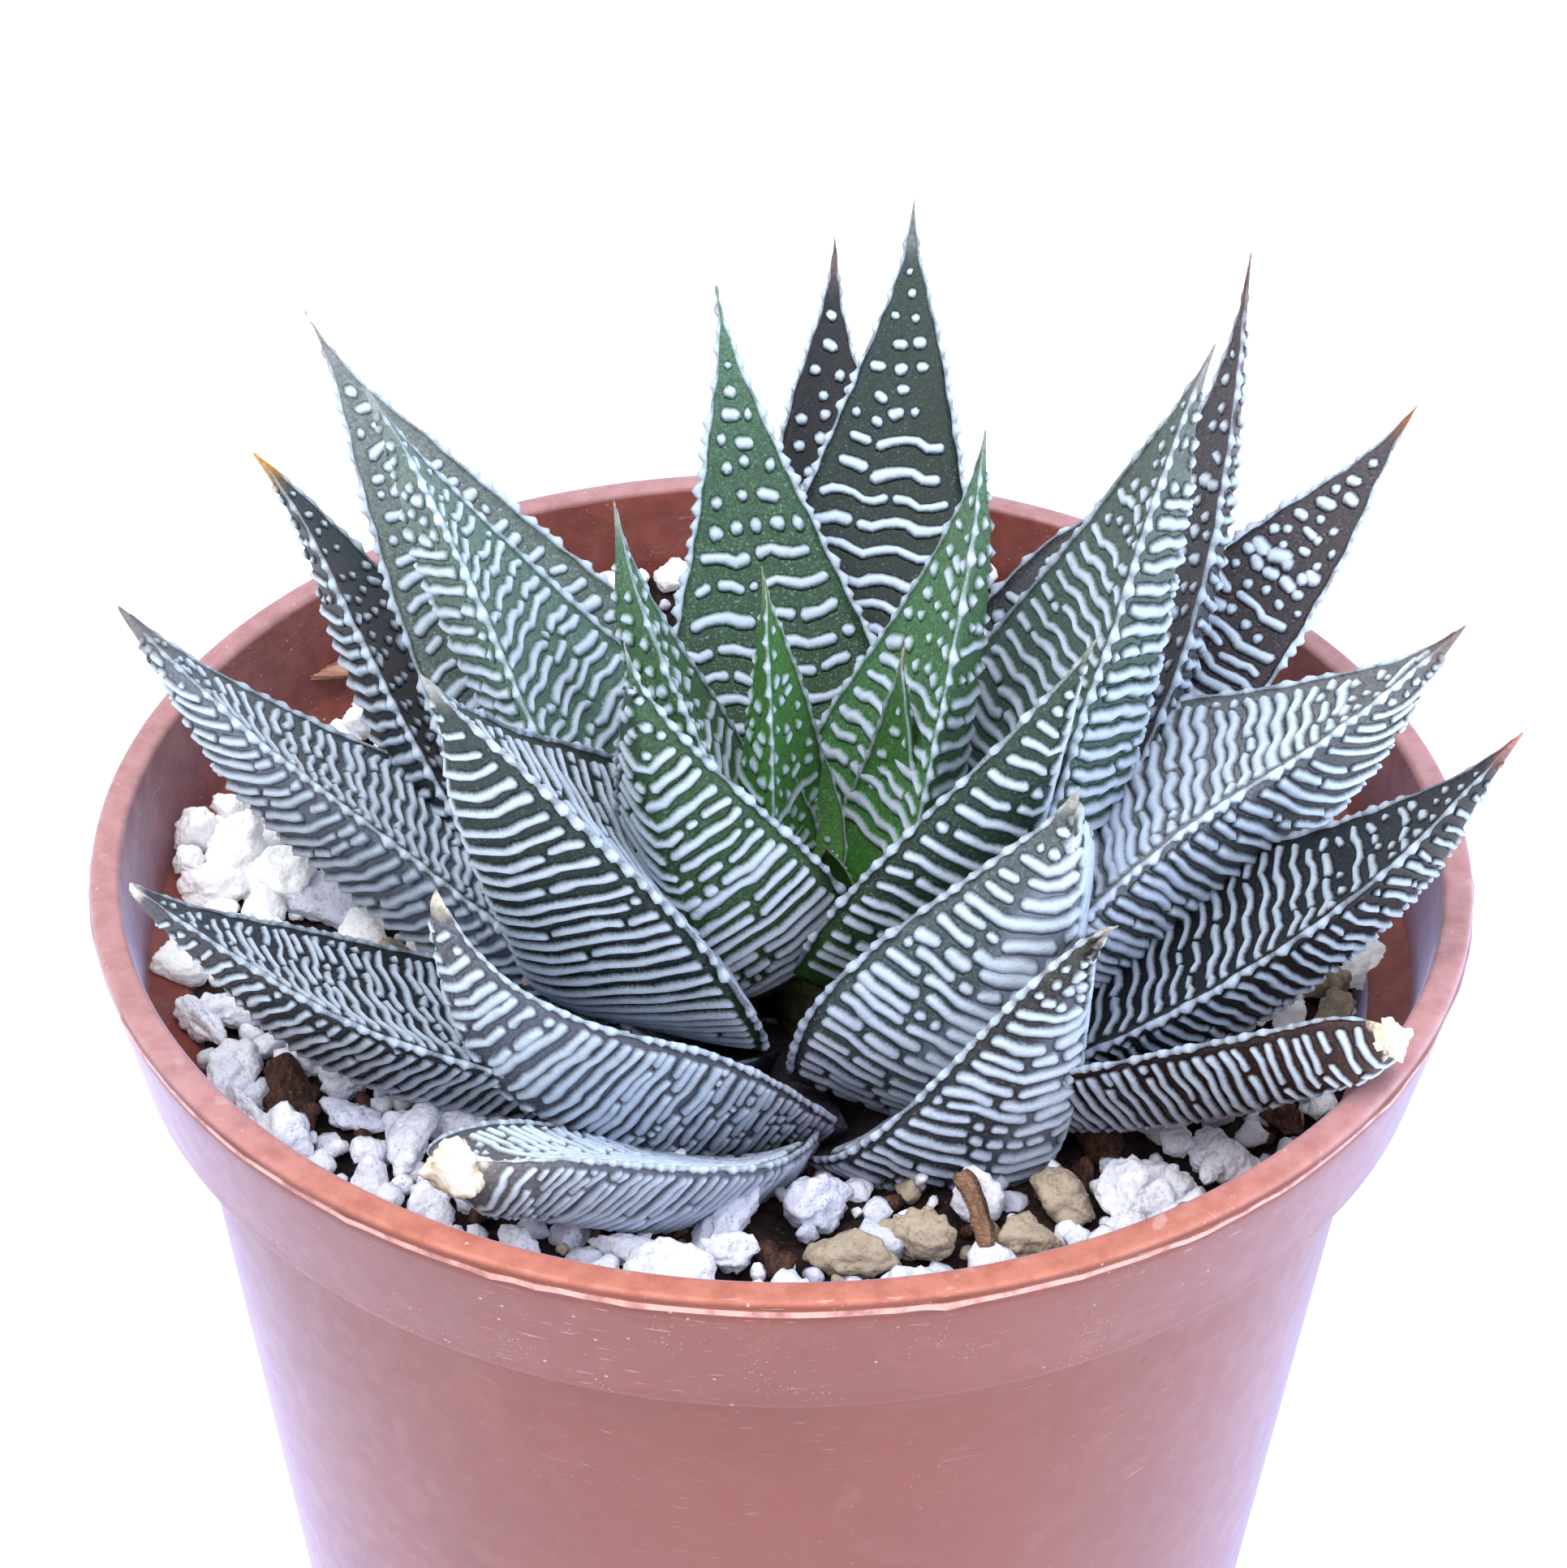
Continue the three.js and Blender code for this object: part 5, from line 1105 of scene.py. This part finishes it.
taken = []
for i, (name, c, half, yaw) in enumerate(GRAINS):
    rng = np.random.default_rng(500 + i)
    bark = name.startswith("bark")
    p, f = grain_points(np.array(half) * (np.array([0.78, 1.35, 1.35]) if name == "pumice_12" else 1.18 if name in ("pumice_02", "pumice_03", "pumice_04") else 1.08), 5 if name in FINE_ONES else 4, rng, rough=0.16, pits=8, planes=12, sharp=9 if bark else 6)
    v = turn(p, math.radians(yaw), *((-0.42, 0.0) if name == "pumice_12" else ())) + c + ((-0.35, -1.1, 0.6) if name == "pumice_12" else (0, 0, 0))
    soup = Soup("rr")
    soup.add(v, None, f, rr=rng.uniform(0, 0.6))
    if bark:
        mat = MAT_BARK
    elif name in GREY_ONES:
        mat = MAT_GREY
    elif name in SHADED_WHITE_ONES:
        mat = MAT_WHITE_SHADED
    elif name.startswith("grit") and name not in WHITE_GRIT:
        mat = MAT_TAN
    else:
        mat = MAT_WHITE
    ob = soup.build("grain_" + name, mat)
    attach(ob, "root")
    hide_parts(name)
    taken.append((np.array(c), float(np.mean(half))))

tree = KDTree(len(leaf_points))
for i, q in enumerate(leaf_points):
    tree.insert(q, i)
tree.balance()


def scatter():
    rng = np.random.default_rng(77)
    soups = {"white": Soup("rr"), "pale": Soup("rr"), "grey": Soup("rr"), "tan": Soup("rr"), "bark": Soup("rr")}
    placed = [(c[0], c[1], c[2], r) for c, r in taken]
    # a few more that the front view shows, then the rest
    given = [((32.1, -4.7, 65.0), 1.3, "white"), ((35.3, -6.6, 65.3), 1.5, "tan"), ((-7.8, 36.6, 69.9), 1.6, "white"),
             ((-27.9, -14.6, 67.0), 1.2, "grey"), ((-29.5, -14.2, 67.2), 0.9, "white"), ((-23.8, -23.6, 68.2), 1.1, "white"),
             ((-19.4, -25.0, 67.9), 1.0, "white"), ((0.2, -31.0, 66.9), 1.0, "bark"), ((5.9, -26.0, 66.4), 0.9, "grey"),
             ((18.6, -27.8, 66.0), 1.0, "white"), ((31.8, -13.4, 64.8), 0.8, "white"), ((-34.0, 12.6, 67.6), 1.9, "white"),
             ((-29.6, 8.2, 67.3), 1.5, "white"), ((-31.2, -2.6, 66.9), 1.7, "white"), ((-33.3, -6.6, 67.0), 1.5, "white"),
             ((30.3, -15.5, 64.9), 1.3, "bark"), ((-14.2, -30.6, 67.9), 1.2, "white"), ((23.6, -26.0, 66.0), 1.2, "tan"),
             ((-35.8, 8.8, 69.0), 1.3, "white"), ((-37.8, 6.1, 69.0), 1.5, "white"), ((-34.7, 5.3, 68.5), 2.2, "white"),
             ((-37.9, 3.3, 68.5), 1.2, "white"), ((-38.2, -5.2, 67.5), 1.5, "white"), ((-28.9, 19.0, 69.0), 1.2, "white"),
             ((-26.0, -21.7, 66.5), 0.9, "white"), ((-25.6, -15.7, 66.8), 1.6, "grey"), ((-23.4, -22.5, 66.5), 1.2, "white"),
             ((-21.8, -20.7, 66.8), 1.4, "white"), ((-30.8, -13.1, 67.0), 1.2, "white"), ((-33.7, -9.9, 67.2), 1.6, "white"),
             ((5.5, -26.5, 66.0), 1.0, "grey"), ((7.6, -25.9, 65.8), 0.7, "white"), ((20.2, -26.2, 65.5), 1.1, "white"),
             ((17.3, -27.2, 65.6), 0.8, "white"), ((16.3, -21.1, 65.3), 1.4, "white"), ((23.8, -17.5, 64.8), 1.2, "white"),
             ((33.0, -14.6, 64.8), 0.9, "white"), ((34.7, -3.6, 65.5), 1.6, "tan"), ((37.4, -2.3, 65.8), 1.9, "white"),
             ((31.9, -6.3, 65.0), 1.3, "white"), ((38.3, 0.8, 66.0), 1.2, "white"), ((-2.3, -29.7, 66.3), 1.2, "white"),
             ((-0.5, -29.5, 66.2), 0.9, "bark"), ((25.5, -20.4, 64.8), 1.0, "white"), ((28.2, -17.2, 64.6), 1.0, "white"),
             ((-8.1, 38.3, 69.9), 1.2, "white"), ((-7.0, 33.4, 69.6), 0.8, "white")]
    jobs = [(np.array(c), r, kind, True) for c, r, kind in given]
    for big, count in ((2.3, 260), (1.5, 900), (0.85, 1500), (0.5, 1100)):
        for _ in range(count):
            rad = 38.8 * math.sqrt(rng.random())
            ang = rng.uniform(0, 2 * math.pi)
            r = big * rng.uniform(0.72, 1.2)
            x, y = rad * math.cos(ang), rad * math.sin(ang)
            if math.hypot(x - 2.5, y + 7.6) < 12.5:
                continue
            z = float(mix_height(x, y)) + rng.uniform(-0.5, 0.3) * r + (0.3 * r if big > 1 else 0.1)
            left = float(smooth(-x, 10.0, 30.0))
            if big > 1:
                share = (0.62 + 0.24 * left, 0.16 - 0.08 * left, 0.07 - 0.05 * left, 0.15 - 0.11 * left)
            else:
                share = (0.50 + 0.26 * left, 0.20 - 0.08 * left, 0.08 - 0.05 * left, 0.22 - 0.13 * left)
            share = np.array(share) / sum(share)
            kind = rng.choice(["white", "grey", "tan", "bark"], p=share)
            jobs.append((np.array([x, y, z]), r, str(kind), False))
    for c, r, kind, keep in jobs:
        wall = float(inside_radius(max(60.0, c[2] - 0.7 * r))) - 0.2
        room = wall - math.hypot(c[0], c[1])
        if room < r:
            if keep:
                c[:2] *= (wall - r) / math.hypot(c[0], c[1])
            else:
                r = room
                if r < 0.35:
                    continue
        near = tree.find(Vector(c))[2]
        if near < r * 0.95 + 0.1:
            r2 = near - 0.12
            if r2 < 0.35:
                continue
            r = min(r, r2)
        at = np.array(placed)
        gap = np.sqrt(((at[:, :3] - c) ** 2).sum(1)) / (at[:, 3] + r)
        if gap.min() < (0.55 if keep else 0.76):
            continue
        placed.append((c[0], c[1], c[2], r))
        half = r * rng.uniform(0.84, 1.16, 3)
        if kind == "bark":
            half = r * np.array([rng.uniform(1.0, 1.5), rng.uniform(0.7, 1.0), rng.uniform(0.45, 0.7)])
            half *= min(1.0, max(0.3, min(room, near) / half.max()))
        level = 3 if r > 1.0 else 2
        if r > 1.9 or (keep and r > 1.15):
            level = 4
        p, f = grain_points(half, level, rng, rough=0.16, pits=5 if r > 1 else 2, planes=12, sharp=9 if kind == "bark" else 6)
        v = turn(p, rng.uniform(0, 6.28), rng.uniform(-0.5, 0.5), rng.uniform(-0.5, 0.5)) + c
        # white grains at the front take the shaded copy of the white: painted shade
        soups["pale" if kind == "white" and c[1] < -8.0 else kind].add(v, None, f, rr=rng.uniform(0, 1))
    return soups


for kind, soup in scatter().items():
    mat = {"white": MAT_WHITE, "pale": MAT_WHITE_SHADED, "grey": MAT_GREY, "tan": MAT_TAN, "bark": MAT_BARK}[kind]
    ob = soup.build("loose_" + kind, mat)
    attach(ob, "root")


# ---------------------------------------------------------------- straw, fibre, dry scrap, stem
def strip(points, half_w, half_t, seed, steps=46, curl=0.5, ends=0.35):
    """A dry strip along a path, flat and slightly curled, with ragged ends."""
    p = np.array(points, float)
    x = np.linspace(0, 1, steps)
    c = (1 - x)[:, None] ** 2 * p[0] + (2 * x * (1 - x))[:, None] * (2 * p[1] - 0.5 * (p[0] + p[2])) + (x ** 2)[:, None] * p[2]
    tan = np.gradient(c, axis=0)
    tan /= np.linalg.norm(tan, axis=1, keepdims=True)
    up = np.array([0, 0, 1.0]) - tan * tan[:, 2:3]
    up /= np.linalg.norm(up, axis=1, keepdims=True)
    side = np.cross(tan, up)
    ang = curl * np.sin(x * 5.0 + seed) + 0.2
    s2 = np.cos(ang)[:, None] * side + np.sin(ang)[:, None] * up
    u2 = np.cross(s2, tan)
    m = 20
    a = np.arange(m) / m * 2 * np.pi
    wide = half_w * (ends + (1 - ends) * np.sin(np.pi * np.clip(x, 0.02, 0.98)) ** 0.4) * (1 + 0.15 * noise3(c * 1.7, seed))
    sx, sz = np.cos(a), np.sin(a)
    groove = 1 + 0.22 * np.sin(7 * a)[None, :] * np.ones(steps)[:, None]
    ring = c[:, None] + s2[:, None] * (sx[None] * wide[:, None])[..., None] * groove[..., None] + u2[:, None] * (sz[None] * half_t * groove + 0.25 * half_w * sx[None] ** 2)[..., None]
    v = np.concatenate([ring.reshape(-1, 3), ring[0].mean(0)[None], ring[-1].mean(0)[None]])
    soup = Soup("rr")
    soup.add(v, ring_quads(steps, m), end_caps(steps, m), rr=0.5)
    return soup


def dry_material(name, a, b, c):
    m = Mat(name, 0.7, Specular_IOR_Level=0.3)
    long = m.noise(2.2, 4, 0.6, vec=m.vec("MULTIPLY", m.pos, (0.5, 2.6, 2.6)))
    fine = m.noise(7.0, 3, 0.6)
    col = m.mix(m.step(long, 0.35, 0.65), a, b)
    col = m.mix(m.step(fine, 0.55, 0.72, 0.0, 0.7), col, c)
    m.colour(col)
    m.bump(m.math("ADD", long, fine), 0.8, 0.00015)
    return m.m


for name, points, hw, ht, cols, seed in (
        ("straw_01", [(-33.2, 23.4, 69.0), (-30.6, 24.3, 69.3), (-27.4, 24.9, 69.5)], 0.6, 0.24, (lin(206, 160, 138), lin(176, 124, 102), lin(228, 196, 176)), 2),
        ("fibre_01", [(10.6, -23.9, 67.3), (11.3, -26.2, 67.1), (11.9, -29.2, 66.6)], 0.72, 0.26, (lin(150, 118, 94), lin(112, 80, 62), lin(186, 156, 130)), 5),
        ("leaf_scrap", [(-15.0, -12.8, 71.8), (-13.1, -12.3, 72.8), (-11.4, -12.3, 71.8)], 1.15, 0.42, (lin(176, 160, 164), lin(140, 116, 120), lin(204, 190, 192)), 9)):
    ob = strip(points, hw, ht, seed).build("dry_" + name, dry_material("dry_" + name, *cols))
    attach(ob, "root")
    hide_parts(name)

# the growing point on the stem: three small leaves folded over each other
bud = Soup("hh", "tt", "ss", "rr", "ff")
for i, (ang, tall, wide) in enumerate(((0.9, 5.8, 2.1), (3.0, 5.0, 2.3), (5.1, 4.3, 2.3))):
    o = np.array([math.cos(ang), math.sin(ang), 0.0])
    foot = np.array([2.5, -7.6, 72.6])
    row = ([foot + 0.95 * o, foot + 1.45 * o + (0, 0, 0.4 * tall), foot + 0.9 * o + (0, 0, 0.74 * tall), foot + 0.25 * o + (0, 0, tall)],
           [-math.sin(ang), math.cos(ang)], [0.15, 0.25, 0.2], wide, 1.1, 0.6, 0, 9)
    leaf = Leaf(row)
    leaf_body(bud, leaf, 20)
    rng = np.random.default_rng(70 + i)
    for side in (1, -1):
        margin_line(bud, leaf, side, 0.07, [(leaf.length * q, 0.12) for q in (0.3, 0.45, 0.6, 0.75)], rng)
    for t, s in ((0.35, 0.0), (0.5, -0.3), (0.52, 0.35), (0.66, 0.0), (0.78, 0.05)):
        keel_knob(bud, leaf, s, t, 0.14, rng)
ob = bud.build("growing_point", leaf_material(16))
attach(ob, "root")

stem_mat = Mat("stem_skin", 0.7, Specular_IOR_Level=0.3)
_f = stem_mat.noise(1.4, 4)
_z = stem_mat.split()[2]
_c = stem_mat.mix(stem_mat.step(_z, 60.0, 72.0), lin(70, 50, 50), lin(92, 104, 62))
stem_mat.colour(stem_mat.mix(stem_mat.step(_f, 0.4, 0.7, 0.0, 0.6), _c, lin(52, 36, 40)))
stem_mat.bump(_f, 0.8, 0.0003)
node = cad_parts.get("stem")
if node is not None:
    node.data.materials.clear()
    node.data.materials.append(stem_mat.m)
    node.hide_render = False


# ---------------------------------------------------------------- floor, light, view
floor_mat = Mat("studio_floor", 0.9, Specular_IOR_Level=0.1)
floor_mat.colour(floor_mat.mix(floor_mat.noise(0.02, 2), lin(250, 250, 252), lin(247, 247, 250)))
floor_mat.b.inputs["Emission Color"].default_value = (1.0, 1.0, 1.0, 1.0)
floor_mat.b.inputs["Emission Strength"].default_value = 0.28
me = bpy.data.meshes.new("studio_floor")
me.from_pydata([(-6, -6, 0), (6, -6, 0), (6, 6, 0), (-6, 6, 0)], [], [(0, 1, 2, 3)])
me.materials.append(floor_mat.m)
floor = bpy.data.objects.new("studio_floor", me)
scene.collection.objects.link(floor)

world = bpy.data.worlds.new("studio")
scene.world = world
world.use_nodes = True
bg = world.node_tree.nodes["Background"]
bg.inputs[0].default_value = (0.93, 0.95, 1.0, 1.0)
bg.inputs[1].default_value = 0.92


def area(name, place, aim, size, power, colour=(1, 1, 1)):
    d = bpy.data.lights.new(name, "AREA")
    d.shape = "SQUARE"
    d.size = size
    d.energy = power
    d.color = colour
    o = bpy.data.objects.new(name, d)
    o.location = place
    o.rotation_euler = (Vector(aim) - Vector(place)).to_track_quat("-Z", "Y").to_euler()
    scene.collection.objects.link(o)


area("key", (-0.28, -0.30, 0.95), (0, 0, 0.06), 0.9, 11.0, (1.0, 0.99, 0.97))
area("fill", (0.6, -0.5, 0.45), (0, 0, 0.07), 0.6, 4.8, (0.78, 0.83, 1.0))
area("side", (0.78, 0.10, 0.20), (0, 0, 0.06), 0.5, 2.5, (0.42, 0.72, 1.0))

scene.view_settings.view_transform = "Standard"
scene.view_settings.look = "None"
scene.view_settings.exposure = 0.0
scene.view_settings.gamma = 1.0
